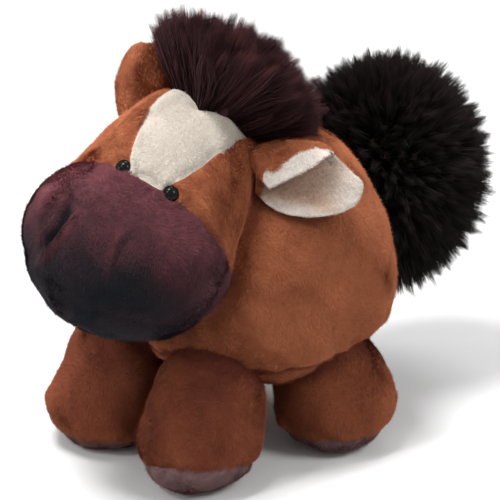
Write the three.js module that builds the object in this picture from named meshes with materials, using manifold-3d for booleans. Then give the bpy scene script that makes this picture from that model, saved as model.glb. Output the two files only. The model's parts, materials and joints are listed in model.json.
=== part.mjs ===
// A small plush horse that stands on four stub legs with its head turned and tilted to its left.
// Millimetres, +Z up. The horse faces -Y and its own left side is +X.
// Each sewn fabric panel, each body of filling and each fitting is a solid of its own.
import * as THREE from "three";
import { mergeVertices } from "three/addons/utils/BufferGeometryUtils.js";
import Module from "manifold-3d";

const wasm = await Module();
wasm.setup();

// Fabric, gaps and cuts
const plushThickness = 2.5;
const seamGap = 0.3;
const finest = 0.01;
const fillingGap = 0.3;
const sweepGap = 0.8;
const cutOverrun = 40;

// The body, a round bag that sags a little at its lower half
const bodyHalfWidth = 60;
const bodyHalfLength = 54;
const bodyHalfHeight = 52.5;
const bodyCentreBack = 17.5;
const bodyCentreHeight = 86.5;
const bodySquareness = 2.9;
const bodySagShare = 0.13;
const bellySeamDrop = 37;

// The head, a crown and a wide muzzle that run into each other, placed from the body's centre
const headLeft = 0.3;
const headForward = 45.5;
const headRise = 24;
const headTurn = THREE.MathUtils.degToRad(24.5);
const headTilt = THREE.MathUtils.degToRad(22);
const headNod = THREE.MathUtils.degToRad(-9);
const crownRadii = [40, 54.5, 53.5];
const muzzleRadii = [43, 50.5, 36.3];
const muzzleForward = 23.5;
const muzzleDrop = 10;
const cheekSharpness = 22;

// The seam round the muzzle, and the chin seam under it
const muzzleSeamLean = THREE.MathUtils.degToRad(42);
const muzzleSeamForward = 18.1;
const muzzleSeamSweep = 5.1;
const chinSeamDrop = 24;

// The pale blaze on the face, and the mane's strip behind it
const blazeSeamHalfWidth = 8;
const blazeSeamForward = 46;
const blazeBrowHalfWidth = 16;
const blazeBrowForward = 33;
const blazeCornerHalfWidth = 19;
const blazeCornerBack = 6;
const blazeNotchForward = 14;
const maneStripHalfWidth = 19;

// The mane's long pile
const manePileLength = 32;
const manePileSunk = 3;
const maneFrontTurn = THREE.MathUtils.degToRad(-16);
const maneNapeTurn = THREE.MathUtils.degToRad(80);
const maneFanCentre = [0, 4, 6];
const maneFanShare = 2;
const maneStandShare = 0.25;
const maneSideShare = 0.1;

// Nostrils, drawn in as two short upright creases
const nostrilSpacing = 28;
const nostrilShift = 5;
const nostrilForward = 69;
const nostrilDrop = 0;
const nostrilHalfWidth = 2.6;
const nostrilHalfHeight = 8.5;
const nostrilDepth = 1.6;

// The bead eyes on shanks, each held by a washer inside the head
const eyeRadius = 3.5;
const eyeSpacing = 23.6;
const eyeRise = 26.4;
const eyeBackDepth = 1.2;
const shankRadius = 1.2;
const shankLength = 7;
const shankClearance = 0.3;
const washerRadius = 4.5;
const washerThickness = 1.2;
const washerGap = 1.2;

// The ears, cupped leaves of two layers
const earLength = 42.6;
const earBuried = 9;
const earLayer = 1.9;
const earPlaces = [-9, -4, 1, 5, 10, 15, 21.5, 25, 29, 34.5, 38];
const earFoldRises = [2.5, 6.5, 9.3, 10.6, 11.7, 12.8, 13.4, 12.8, 10.8, 7.4, 5.5];
const earFlaps = [3, 6, 13, 17.8, 15.1, 12.7, 8.1, 3.5, 1, 0.5, 0.3];
const earFoldTurns = [165, 165, 165, 165, 162, 158, 150, 120, 70, 40, 30];
const earFoldRadii = [2.4, 2.4, 2.6, 3, 3.6, 3.6, 3.6, 3.6, 3.6, 3.6, 3.6];
const earLowers = [3, 7, 10.5, 13.8, 16.2, 17, 16.6, 15.8, 14.6, 12.3, 10];
const earRoundedFrom = 36;
const earLowerCup = 0.035;
const earEdgeShare = 0.6;
const earManeGap = 1.6;
const earBase = [29, 3, 36];
const leftEarTravel = [-25, 4];
const rightEarTravel = [-20, 20];
const leftEarPose = { sweep: 16, lift: 14, roll: -19 };
const rightEarPose = { sweep: 81, lift: 27.6, roll: 61 };

// The legs, which swell at the foot and end inside the body, just below its centre
const legTopDrop = 4;
const legWidestHeight = 21;
const footRadius = 26.4;
const legTopRadius = 19.5;
const legSquareness = 2.25;
const soleSeamHeight = 8.5;
const soleFlat = 0.5;
const legTravel = [-10, 10];
const frontFoot = [29, -35];
const frontLegLean = [-4, 26];
const rearFoot = [40, 35];
const rearLegLean = [-8, -10];

// The tail, a plume of long pile round a filled core, hung on a short tab
const tailRootRise = THREE.MathUtils.degToRad(30);
const tabRadius = 5;
const tabLength = 9;
const corePlumeRadii = [12, 30, 17];
const coreBack = 24;
const coreDrop = 8;
const plumeRadii = [41, 46, 53];
const plumeBack = 40;
const plumeDrop = 18;
const tailLift = [-15, 15];
const tailSway = [-20, 20];

const legHeight = bodyCentreHeight - legTopDrop;

// How finely the round forms are divided
const bodyDivisions = [22, 14];
const headDivisions = [24, 16];
const legDivisions = [14, 8];
const earDivisions = [36, 9];
const earArcSteps = 24;
const maneDivisions = [6, 12];
const pileDivisions = [18, 10];
const fittingDivisions = 10;
const sweepSteps = 3;

// Materials
function finish(colour, roughness) {
  return new THREE.MeshStandardMaterial({ color: colour, roughness, metalness: 0 });
}
const brownPlush = finish(0xa4552f, 0.95);
const plumPlush = finish(0x553038, 0.95);
const creamPlush = finish(0xe4d8c8, 0.95);
const longPile = finish(0x1d1113, 0.9);
const filling = finish(0xf1efe9, 1);
const bead = finish(0x0b0a0a, 0.12);
const washerPlastic = finish(0xd8d8d4, 0.5);

// A closed geometry as a solid that can be joined and cut.
function solidOf(geometry) {
  const bare = geometry.clone();
  bare.deleteAttribute("normal");
  bare.deleteAttribute("uv");
  const merged = mergeVertices(bare, 1e-4);
  return new wasm.Manifold(
    new wasm.Mesh({
      numProp: 3,
      vertProperties: new Float32Array(merged.attributes.position.array),
      triVerts: new Uint32Array(merged.index.array),
    }),
  );
}

// The solid stretched round some geometries.
function hullOf(geometries) {
  const points = [];
  for (const { attributes } of geometries) {
    const point = new THREE.Vector3();
    for (let i = 0; i < attributes.position.count; i += 1) {
      points.push(point.fromBufferAttribute(attributes.position, i).toArray());
    }
  }
  return wasm.Manifold.hull(points);
}

// A geometry of one group in another group's frame.
function geometryIn(group, geometry, owner) {
  group.updateWorldMatrix(true, false);
  owner.updateWorldMatrix(true, false);
  const shift = group.matrixWorld.clone().invert().multiply(owner.matrixWorld);
  return geometry.clone().applyMatrix4(shift);
}

// The largest body of a cut piece, without the crumbs that a shallow cut leaves at its edges.
function largest(solid) {
  const bodies = solid.decompose();
  return bodies.reduce((best, body) => (body.volume() > best.volume() ? body : best));
}

function addPiece(group, name, solid, material) {
  const made = largest(solid).asOriginal().simplify(finest).getMesh();
  const geometry = new THREE.BufferGeometry();
  geometry.setAttribute("position", new THREE.BufferAttribute(made.vertProperties, 3));
  geometry.setIndex(new THREE.BufferAttribute(made.triVerts, 1));
  geometry.computeVertexNormals();
  const mesh = new THREE.Mesh(geometry, material);
  mesh.name = name;
  group.add(mesh);
  return mesh;
}

// A round closed form: every direction of a unit sphere is sent to a point of the form.
function roundForm(pointAt, [around, rings], poleAxis = "y") {
  const geometry = new THREE.SphereGeometry(1, around, rings);
  if (poleAxis === "z") geometry.rotateX(Math.PI / 2);
  if (poleAxis === "x") geometry.rotateZ(-Math.PI / 2);
  const places = geometry.attributes.position;
  const direction = new THREE.Vector3();
  for (let i = 0; i < places.count; i += 1) {
    direction.fromBufferAttribute(places, i).normalize();
    places.setXYZ(i, ...pointAt(direction).toArray());
  }
  return geometry;
}

function ellipsoid(radii, centre, divisions) {
  const middle = new THREE.Vector3(...centre);
  const size = new THREE.Vector3(...radii);
  return roundForm((direction) => direction.clone().multiply(size).add(middle), divisions);
}

function block(low, high) {
  const size = high.map((value, i) => value - low[i]);
  const geometry = new THREE.BoxGeometry(...size);
  return geometry.translate(...low.map((value, i) => value + size[i] / 2));
}

// A prism over an outline of [x, y] points, from one height to another.
function prism(outline, low, high) {
  const shape = new THREE.Shape(outline.map(([x, y]) => new THREE.Vector2(x, y)));
  const geometry = new THREE.ExtrudeGeometry(shape, { depth: high - low, bevelEnabled: false });
  return geometry.translate(0, 0, low);
}

// The obstacle's form as the moving piece meets it at a turn of its joint.
function turnedPast(geometry, pivot, axis, angle) {
  const turn = new THREE.Matrix4().makeRotationAxis(axis, -angle);
  const toPivot = new THREE.Matrix4().makeTranslation(pivot.clone().negate());
  const back = new THREE.Matrix4().makeTranslation(pivot);
  return geometry.clone().applyMatrix4(toPivot).applyMatrix4(turn).applyMatrix4(back);
}

// The angles of a joint's travel at which its moving piece is cleared of what it meets.
function stepsOf([low, high]) {
  const steps = [];
  for (let i = 0; i < sweepSteps; i += 1) {
    steps.push(THREE.MathUtils.degToRad(low + ((high - low) * i) / (sweepSteps - 1)));
  }
  return steps;
}

const horse = new THREE.Group();

// The body's surface in its own frame, moved in by the inset.
function bodyPoint(direction, inset) {
  const size = Math.hypot(direction.x, direction.y, direction.z);
  const unit = direction.clone().divideScalar(size);
  const power = bodySquareness;
  const sum = Math.abs(unit.x) ** power + Math.abs(unit.y) ** power + Math.abs(unit.z) ** power;
  const point = unit.divideScalar(sum ** (1 / power));
  const spread = 1 - bodySagShare * point.z;
  point.x *= (bodyHalfWidth - inset) * spread;
  point.y *= (bodyHalfLength - inset) * spread;
  point.z *= bodyHalfHeight - inset;
  return point;
}

const bodyGroup = new THREE.Group();
bodyGroup.position.set(0, bodyCentreBack, bodyCentreHeight);
horse.add(bodyGroup);

function bodyForm(inset) {
  return roundForm((direction) => bodyPoint(direction, inset), bodyDivisions, "z");
}

// Two side panels and the gusset under them, with the filling inside.
function buildBody() {
  const reach = bodyHalfWidth + bodyHalfLength + cutOverrun;
  const shell = solidOf(bodyForm(0)).subtract(solidOf(bodyForm(plushThickness)));
  const seamLevel = -bellySeamDrop;
  const under = block([-reach, -reach, -reach], [reach, reach, seamLevel - seamGap / 2]);
  const left = block([seamGap / 2, -reach, seamLevel + seamGap / 2], [reach, reach, reach]);
  const right = block([-reach, -reach, seamLevel + seamGap / 2], [-seamGap / 2, reach, reach]);
  addPiece(bodyGroup, "body_side_left", shell.intersect(solidOf(left)), brownPlush);
  addPiece(bodyGroup, "body_side_right", shell.intersect(solidOf(right)), brownPlush);
  addPiece(bodyGroup, "belly_gusset", shell.intersect(solidOf(under)), brownPlush);
  addPiece(bodyGroup, "body_filling", solidOf(bodyForm(plushThickness + fillingGap)), filling);
}

const headGroup = new THREE.Group();
headGroup.position.set(headLeft, -headForward, headRise);
headGroup.rotation.set(headNod, headTilt, headTurn, "ZYX");
bodyGroup.add(headGroup);

// How far an ellipsoid reaches from the head's centre along a direction.
function reachOf(direction, centre, radii) {
  const d = direction.clone().divide(radii);
  const c = centre.clone().divide(radii);
  const along = d.dot(c);
  return (along + Math.sqrt(along ** 2 - d.lengthSq() * (c.lengthSq() - 1))) / d.lengthSq();
}

// The head's surface in its own frame: crown and muzzle run into each other at a soft crease.
function headPoint(direction, inset) {
  const crown = new THREE.Vector3(...crownRadii).subScalar(inset);
  const muzzle = new THREE.Vector3(...muzzleRadii).subScalar(inset);
  const muzzleCentre = new THREE.Vector3(0, -muzzleForward, -muzzleDrop);
  const crownReach = reachOf(direction, new THREE.Vector3(), crown);
  const muzzleReach = reachOf(direction, muzzleCentre, muzzle);
  const sum = crownReach ** cheekSharpness + muzzleReach ** cheekSharpness;
  return direction.clone().multiplyScalar(sum ** (1 / cheekSharpness));
}

function headForm(inset) {
  return roundForm((direction) => headPoint(direction, inset), headDivisions);
}

// The space in front of the muzzle's seam, which sweeps back towards the cheeks.
function muzzleSide(shift) {
  const reach = muzzleRadii[1] + crownRadii[1] + cutOverrun;
  const cheek = crownRadii[0];
  const shape = new THREE.Shape();
  const steps = 12;
  for (let i = 0; i <= steps; i += 1) {
    const across = ((2 * i) / steps - 1) * 2 * cheek;
    const sweep = muzzleSeamSweep * (across / cheek) ** 2;
    const place = [across, sweep - muzzleSeamForward + shift];
    if (i === 0) shape.moveTo(...place);
    else shape.lineTo(...place);
  }
  shape.lineTo(2 * cheek, -reach);
  shape.lineTo(-2 * cheek, -reach);
  const geometry = new THREE.ExtrudeGeometry(shape, { depth: 2 * reach, bevelEnabled: false });
  return geometry.translate(0, 0, -reach).rotateX(muzzleSeamLean);
}

// The blaze's outline from above, with its edges moved out by a margin.
function blazeOutline(margin) {
  const half = [
    [blazeSeamHalfWidth + margin, -blazeSeamForward - cutOverrun],
    [blazeSeamHalfWidth + margin, -blazeSeamForward],
    [blazeBrowHalfWidth + margin, -blazeBrowForward],
    [blazeCornerHalfWidth + margin, blazeCornerBack],
  ];
  return [...half, ...half.map(([x, y]) => [-x, y]).reverse()];
}

// The mane strip's outline from above: it starts in a point on the forehead.
function maneOutline(margin) {
  const halfWidth = maneStripHalfWidth + margin;
  return [
    [0, -blazeNotchForward - margin],
    [halfWidth, blazeCornerBack - margin],
    [halfWidth, crownRadii[1] + cutOverrun],
    [-halfWidth, crownRadii[1] + cutOverrun],
    [-halfWidth, blazeCornerBack - margin],
  ];
}

// The panels of the head meet at seams, and all are open where the head is sewn to the body.
function buildHead() {
  const reach = muzzleRadii[1] + crownRadii[1] + cutOverrun;
  const sewnTo = solidOf(geometryIn(headGroup, bodyForm(-seamGap), bodyGroup));
  const nostril = (side) => {
    const across = (side * nostrilSpacing) / 2 - nostrilShift;
    const towards = new THREE.Vector3(across, -nostrilForward, -nostrilDrop);
    const place = headPoint(towards.normalize(), 0).toArray();
    return solidOf(ellipsoid([nostrilHalfWidth, nostrilDepth, nostrilHalfHeight], place, [10, 8]));
  };
  const outer = solidOf(headForm(0)).subtract(sewnTo);
  const shell = outer.subtract(solidOf(headForm(plushThickness)));
  const eyeHoles = [-1, 1].map((side) => solidOf(eyeSpace(side)));
  const pierced = eyeHoles.reduce((solid, hole) => solid.subtract(hole), shell);
  const muzzle = pierced
    .intersect(solidOf(muzzleSide(-seamGap / 2)))
    .subtract(nostril(1))
    .subtract(nostril(-1));
  const chinBelow = block([-reach, -reach, -reach], [reach, reach, -chinSeamDrop - seamGap / 2]);
  const chinAbove = block([-reach, -reach, -chinSeamDrop + seamGap / 2], [reach, reach, reach]);
  addPiece(headGroup, "muzzle_upper", muzzle.intersect(solidOf(chinAbove)), plumPlush);
  addPiece(headGroup, "muzzle_chin", muzzle.intersect(solidOf(chinBelow)), plumPlush);

  const face = pierced.subtract(solidOf(muzzleSide(seamGap / 2)));
  const strip = face.intersect(solidOf(prism(maneOutline(0), 0, reach)));
  const behindStrip = solidOf(prism(maneOutline(seamGap), -seamGap, reach));
  const blaze = face.intersect(solidOf(prism(blazeOutline(0), 0, reach))).subtract(behindStrip);
  const sides = face
    .subtract(behindStrip)
    .subtract(solidOf(prism(blazeOutline(seamGap), -seamGap, reach)));
  const leftHalf = block([seamGap / 2, -reach, -reach], [reach, reach, reach]);
  const rightHalf = block([-reach, -reach, -reach], [-seamGap / 2, reach, reach]);
  addPiece(headGroup, "head_side_left", sides.intersect(solidOf(leftHalf)), brownPlush);
  addPiece(headGroup, "head_side_right", sides.intersect(solidOf(rightHalf)), brownPlush);
  addPiece(headGroup, "face_blaze", blaze, creamPlush);
  addPiece(headGroup, "mane_strip", strip, longPile);

  const core = solidOf(headForm(plushThickness + fillingGap)).subtract(sewnTo);
  const pockets = [-1, 1].map(washerSpace);
  const filled = pockets.reduce((solid, pocket) => solid.subtract(pocket), core);
  addPiece(headGroup, "head_filling", filled, filling);
}

// Where an eye's back meets the plush, and the way its shank points out: square to the surface
// between points of the head that lie one eye's radius to each side.
function eyeSeat(side) {
  const towards = new THREE.Vector3((side * eyeSpacing) / 2, -blazeSeamForward, eyeRise);
  const beside = new THREE.Vector3(eyeRadius, 0, 0);
  const above = new THREE.Vector3(0, eyeRadius, eyeRadius);
  const pointAt = (offset, share) =>
    headPoint(towards.clone().addScaledVector(offset, share).normalize(), 0);
  const across = pointAt(beside, 1).sub(pointAt(beside, -1));
  const upright = pointAt(above, 1).sub(pointAt(above, -1));
  return { place: headPoint(towards.normalize(), 0), way: across.cross(upright).normalize() };
}

// Turns a fitting made about the Z axis to stand on an eye's seat.
function onSeat(geometry, side) {
  const { place, way } = eyeSeat(side);
  const turn = new THREE.Quaternion().setFromUnitVectors(new THREE.Vector3(0, 0, 1), way);
  return geometry
    .rotateX(Math.PI / 2)
    .applyQuaternion(turn)
    .translate(place.x, place.y, place.z);
}

function lathe(profile) {
  const points = profile.map(([radius, height]) => new THREE.Vector2(radius, height));
  return new THREE.LatheGeometry(points, fittingDivisions);
}

// A domed bead with a flat back on a shank, grown by a clearance where it makes its own seat.
function eyeGeometry(side, clearance) {
  const radius = eyeRadius + clearance;
  const profile = [
    [0, -shankLength - clearance],
    [shankRadius + clearance, -shankLength - clearance],
    [shankRadius + clearance, -eyeBackDepth - clearance],
    [radius * Math.cos(0.3), -eyeBackDepth - clearance],
  ];
  const steps = 6;
  for (let i = 0; i < steps; i += 1) {
    const angle = (i / steps) * (Math.PI / 2);
    profile.push([radius * Math.cos(angle), radius * Math.sin(angle)]);
  }
  profile.push([0, radius]);
  return onSeat(lathe(profile), side);
}

function eyeSpace(side) {
  return eyeGeometry(side, shankClearance);
}

function washerGeometry(side, clearance, bore) {
  const top = -plushThickness - washerGap + clearance;
  const bottom = -plushThickness - washerGap - washerThickness - clearance;
  const outside = washerRadius + clearance;
  const profile =
    bore > 0
      ? [
          [bore, bottom],
          [outside, bottom],
          [outside, top],
          [bore, top],
          [bore, bottom],
        ]
      : [
          [0, bottom],
          [outside, bottom],
          [outside, top],
          [0, top],
        ];
  return onSeat(lathe(profile), side);
}

// The pocket in the filling that holds a washer and the end of its shank.
function washerSpace(side) {
  const pocket = solidOf(washerGeometry(side, plushThickness, 0));
  return pocket.add(solidOf(eyeGeometry(side, shankClearance)));
}

function buildEyes() {
  for (const [name, side] of [
    ["left", 1],
    ["right", -1],
  ]) {
    const washer = washerGeometry(side, 0, shankRadius + shankClearance);
    addPiece(headGroup, `eye_${name}`, solidOf(eyeGeometry(side, 0)), bead);
    addPiece(headGroup, `eye_washer_${name}`, solidOf(washer), washerPlastic);
  }
}

// A point of an ear: a cupped leaf from its buried root to its tip, split between its two layers.
// The value that belongs to a place along the ear, between its neighbours in a list.
function alongEar(values, place) {
  const last = earPlaces.length - 1;
  if (place <= earPlaces[0]) return values[0];
  if (place >= earPlaces[last]) return values[last];
  const next = earPlaces.findIndex((known) => known > place);
  const share = (place - earPlaces[next - 1]) / (earPlaces[next] - earPlaces[next - 1]);
  return values[next - 1] * (1 - share) + values[next] * share;
}

// How the ear's sheet is folded at a place along it, and how far it reaches round to both edges.
function earFoldAt(place) {
  const turn = THREE.MathUtils.degToRad(alongEar(earFoldTurns, place));
  const radius = alongEar(earFoldRadii, place);
  const over = Math.sin(Math.min(turn, Math.PI / 2));
  const start = alongEar(earFoldRises, place) - radius * over;
  const spare = Math.max(0, alongEar(earFlaps, place) - radius * (1 - Math.sin(turn)));
  const flap = turn > Math.PI / 2 ? spare / Math.max(0.5, -Math.cos(turn)) : 0;
  const tip = Math.max(0, (place - earRoundedFrom) / (earLength - earRoundedFrom));
  const rounding = Math.sqrt(Math.max(0, 1 - tip ** 2));
  const bend = radius * turn;
  return {
    turn,
    start,
    bend,
    upper: (start + bend + flap) * rounding,
    lower: alongEar(earLowers, place) * rounding,
  };
}

// The sheet's rise, its stand towards the front and its turn, at an arc from the ear's axis.
function earSection({ turn, start, bend }, arc) {
  const turnAt = (length) => {
    const share = Math.min(1, Math.max(0, (length - start) / bend));
    return turn * share + earLowerCup * Math.min(0, length);
  };
  const step = arc / earArcSteps;
  let rise = 0;
  let stand = 0;
  for (let i = 0; i < earArcSteps; i += 1) {
    const at = turnAt(step * (i + 0.5));
    rise += Math.cos(at) * step;
    stand += Math.sin(at) * step;
  }
  return { rise, stand, at: turnAt(arc) };
}

// A point of the ear's sheet, at a place along it and a share of the way to its upper or lower edge.
function sheetPoint(place, share) {
  const fold = earFoldAt(place);
  const { rise, stand } = earSection(fold, share * (share > 0 ? fold.upper : fold.lower));
  return new THREE.Vector3(place, -stand, rise);
}

// Which way the back of the sheet faces there.
function sheetNormal(place, share) {
  const step = 0.4;
  const shareStep = 0.02;
  const held = Math.min(earLength - 2 * step, Math.max(step - earBuried, place));
  const along = sheetPoint(held + step, share).sub(sheetPoint(held - step, share));
  const across = sheetPoint(held, share + shareStep).sub(sheetPoint(held, share - shareStep));
  return across.cross(along).normalize();
}

// A point of one layer of the ear, from a direction of the ball that it is drawn from.
function leafPoint(direction, layer) {
  const place = ((earLength + earBuried) * (direction.x + 1)) / 2 - earBuried;
  const round = Math.hypot(direction.y, direction.z);
  const share = round > 0 ? Math.asin(direction.z / round) / (Math.PI / 2) : 0;
  const thickness = Math.abs(direction.y) ** earEdgeShare * earLayer;
  const behind = direction.y > 0 ? thickness : 0;
  const before = direction.y < 0 ? thickness : 0;
  const depth = {
    back: behind + seamGap / 2,
    lining: -before - seamGap / 2,
    liningSpace: behind > 0 ? seamGap / 2 : -before - seamGap,
    whole: behind - before,
  }[layer];
  return sheetPoint(place, share).addScaledVector(sheetNormal(place, share), depth);
}

// The right ear is the left one's mirror image.
function earGeometry(side, layer) {
  const mirror = new THREE.Vector3(side, 1, 1);
  return roundForm(
    (direction) => leafPoint(direction.clone().multiply(mirror), layer).multiply(mirror),
    earDivisions,
    "x",
  );
}

// An ear's whole form, swollen by a margin.
function earSpace(side, margin) {
  const geometry = earGeometry(side, "whole");
  geometry.computeBoundingBox();
  const middle = geometry.boundingBox.getCenter(new THREE.Vector3());
  const size = geometry.boundingBox.getSize(new THREE.Vector3());
  const swell = size.clone().addScalar(2 * margin).divide(size);
  geometry.translate(-middle.x, -middle.y, -middle.z);
  geometry.scale(swell.x, swell.y, swell.z);
  return geometry.translate(middle.x, middle.y, middle.z);
}

function earGroupOf(side, pose) {
  const group = new THREE.Group();
  const towards = new THREE.Vector3(side * earBase[0], earBase[1], earBase[2]).normalize();
  group.position.copy(headPoint(towards, 0));
  const { degToRad } = THREE.MathUtils;
  group.rotation.set(
    degToRad(pose.roll),
    -side * degToRad(pose.lift),
    side * degToRad(pose.sweep),
    "ZYX",
  );
  headGroup.add(group);
  return group;
}

const acrossEar = new THREE.Vector3(0, 0, 1);
const ears = [
  { name: "left", side: 1, group: earGroupOf(1, leftEarPose), travel: leftEarTravel },
  { name: "right", side: -1, group: earGroupOf(-1, rightEarPose), travel: rightEarTravel },
];

function buildEars() {
  for (const { name, side, group, travel } of ears) {
    const head = geometryIn(group, headForm(-seamGap), headGroup);
    const body = geometryIn(group, bodyForm(-sweepGap), bodyGroup);
    for (const [layer, material] of [
      ["back", brownPlush],
      ["lining", creamPlush],
    ]) {
      let solid = solidOf(earGeometry(side, layer));
      if (layer === "back") solid = solid.subtract(solidOf(earGeometry(side, "liningSpace")));
      for (const angle of stepsOf(travel)) {
        for (const obstacle of [head, body]) {
          const met = turnedPast(obstacle, new THREE.Vector3(), acrossEar, angle);
          solid = solid.subtract(solidOf(met));
        }
      }
      addPiece(group, `ear_${name}_${layer}`, solid, material);
    }
  }
}

// The mane's pile as one solid: it fans out from a patch of the head to the same patch at its tips.
function maneFan() {
  const [across, along] = maneDivisions;
  const roots = [];
  const tips = [];
  for (let j = 0; j <= along; j += 1) {
    const turn = maneFrontTurn + ((maneNapeTurn - maneFrontTurn) * j) / along;
    const middle = headPoint(new THREE.Vector3(0, Math.sin(turn), Math.cos(turn)), 0);
    const behind = (middle.y + blazeNotchForward) / (blazeCornerBack + blazeNotchForward);
    const halfWidth = maneStripHalfWidth * Math.min(1, Math.max(0.1, behind));
    for (let i = 0; i <= across; i += 1) {
      const side = (2 * i) / across - 1;
      const towards = new THREE.Vector3(side * halfWidth, middle.y, middle.z).normalize();
      const surface = headPoint(towards, 0);
      const way = surface.clone().multiply(new THREE.Vector3(maneFanShare, 1, 1));
      way.sub(new THREE.Vector3(...maneFanCentre)).normalize();
      way.addScaledVector(towards, maneStandShare).normalize();
      roots.push(headPoint(towards, manePileSunk));
      const length = manePileLength * (1 - maneSideShare * side ** 2);
      tips.push(surface.addScaledVector(way, length));
    }
  }
  const row = across + 1;
  const count = roots.length;
  const quads = [];
  for (let j = 0; j < along; j += 1) {
    for (let i = 0; i < across; i += 1) {
      const a = j * row + i;
      quads.push([a, a + row, a + row + 1, a + 1]);
      quads.push([count + a, count + a + 1, count + a + row + 1, count + a + row]);
    }
  }
  const rim = [];
  for (let i = 0; i < across; i += 1) rim.push(i);
  for (let j = 0; j < along; j += 1) rim.push(j * row + across);
  for (let i = across; i > 0; i -= 1) rim.push(along * row + i);
  for (let j = along; j > 0; j -= 1) rim.push(j * row);
  rim.forEach((from, k) => {
    const to = rim[(k + 1) % rim.length];
    quads.push([from, to, count + to, count + from]);
  });
  const geometry = new THREE.BufferGeometry().setFromPoints([...roots, ...tips]);
  geometry.setIndex(quads.flatMap(([a, b, c, d]) => [a, b, c, a, c, d]));
  return geometry;
}

// The room that an ear sweeps through, from each step of its travel to the next.
function earSweep({ side, group, travel }) {
  const space = earSpace(side, earManeGap);
  const places = stepsOf(travel).map((angle) => {
    const turned = turnedPast(space, new THREE.Vector3(), acrossEar, -angle);
    return geometryIn(headGroup, turned, group);
  });
  return places.slice(1).map((place, k) => hullOf([places[k], place]));
}

// The mane's pile stands on its strip and leaves each ear room to flap.
function buildManePile() {
  let solid = solidOf(maneFan())
    .subtract(solidOf(headForm(-seamGap)))
    .subtract(solidOf(geometryIn(headGroup, bodyForm(-seamGap), bodyGroup)));
  for (const ear of ears) {
    for (const room of earSweep(ear)) solid = solid.subtract(room);
  }
  addPiece(headGroup, "mane_pile", solid, longPile);
}

// Whether a point of the horse's frame lies inside the body.
function insideBody(point) {
  const rise = (point.z - bodyCentreHeight) / bodyHalfHeight;
  const spread = 1 - bodySagShare * rise;
  const across = point.x / (bodyHalfWidth * spread);
  const along = (point.y - bodyCentreBack) / (bodyHalfLength * spread);
  const power = bodySquareness;
  return Math.abs(across) ** power + Math.abs(along) ** power + Math.abs(rise) ** power < 1;
}

// A point of a leg: round from above, widest at the foot, leaning as it rises into the body.
function legPoint(direction, inset, side, lean) {
  const power = legSquareness;
  const flat = Math.hypot(direction.x, direction.y);
  const scale = (flat ** power + Math.abs(direction.z) ** power) ** (-1 / power);
  const rise = direction.z * scale;
  const above = Math.max(0, rise);
  const radius = footRadius + (legTopRadius - footRadius) * above - inset;
  const height =
    rise > 0
      ? rise * (legHeight - legWidestHeight - inset)
      : rise * (legWidestHeight + soleFlat - inset);
  return new THREE.Vector3(
    direction.x * scale * radius + side * lean[0] * above,
    direction.y * scale * radius + lean[1] * above,
    legWidestHeight + height,
  );
}

// Where a leg's centre line enters the body, in the leg's own frame.
function legPivot(foot, side, lean) {
  let low = 0;
  let high = 1;
  for (let i = 0; i < 40; i += 1) {
    const rise = (low + high) / 2;
    const point = legCentre(rise, side, lean).add(new THREE.Vector3(side * foot[0], foot[1], 0));
    if (insideBody(point)) high = rise;
    else low = rise;
  }
  return legCentre(low, side, lean);
}

function legCentre(rise, side, lean) {
  const height = legWidestHeight + rise * (legHeight - legWidestHeight);
  return new THREE.Vector3(side * lean[0] * rise, lean[1] * rise, height);
}

const legs = [
  { name: "front_left", side: 1, foot: frontFoot, lean: frontLegLean },
  { name: "front_right", side: -1, foot: frontFoot, lean: frontLegLean },
  { name: "rear_left", side: 1, foot: rearFoot, lean: rearLegLean },
  { name: "rear_right", side: -1, foot: rearFoot, lean: rearLegLean },
];

function buildLeg({ name, side, foot, lean }) {
  const group = new THREE.Group();
  group.position.set(side * foot[0], foot[1], 0);
  horse.add(group);
  const form = (inset) =>
    solidOf(roundForm((direction) => legPoint(direction, inset, side, lean), legDivisions, "z"));
  const body = geometryIn(group, bodyForm(-sweepGap), bodyGroup);
  const pivot = legPivot(foot, side, lean);
  const clear = (solid) =>
    stepsOf(legTravel).reduce((left, angle) => {
      const met = turnedPast(body, pivot, new THREE.Vector3(1, 0, 0), angle);
      return left.subtract(solidOf(met));
    }, solid);
  const shell = form(0).subtract(form(plushThickness));
  const reach = footRadius + legTopRadius + cutOverrun;
  const soleSpace = block([-reach, -reach, 0], [reach, reach, soleSeamHeight - seamGap / 2]);
  const tubeSpace = block([-reach, -reach, soleSeamHeight + seamGap / 2], [reach, reach, legHeight]);
  const tube = clear(shell.intersect(solidOf(tubeSpace)));
  addPiece(group, `leg_${name}_fabric`, tube, brownPlush);
  addPiece(group, `leg_${name}_sole`, shell.intersect(solidOf(soleSpace)), plumPlush);
  addPiece(group, `leg_${name}_filling`, clear(form(plushThickness + fillingGap)), filling);
}

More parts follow.
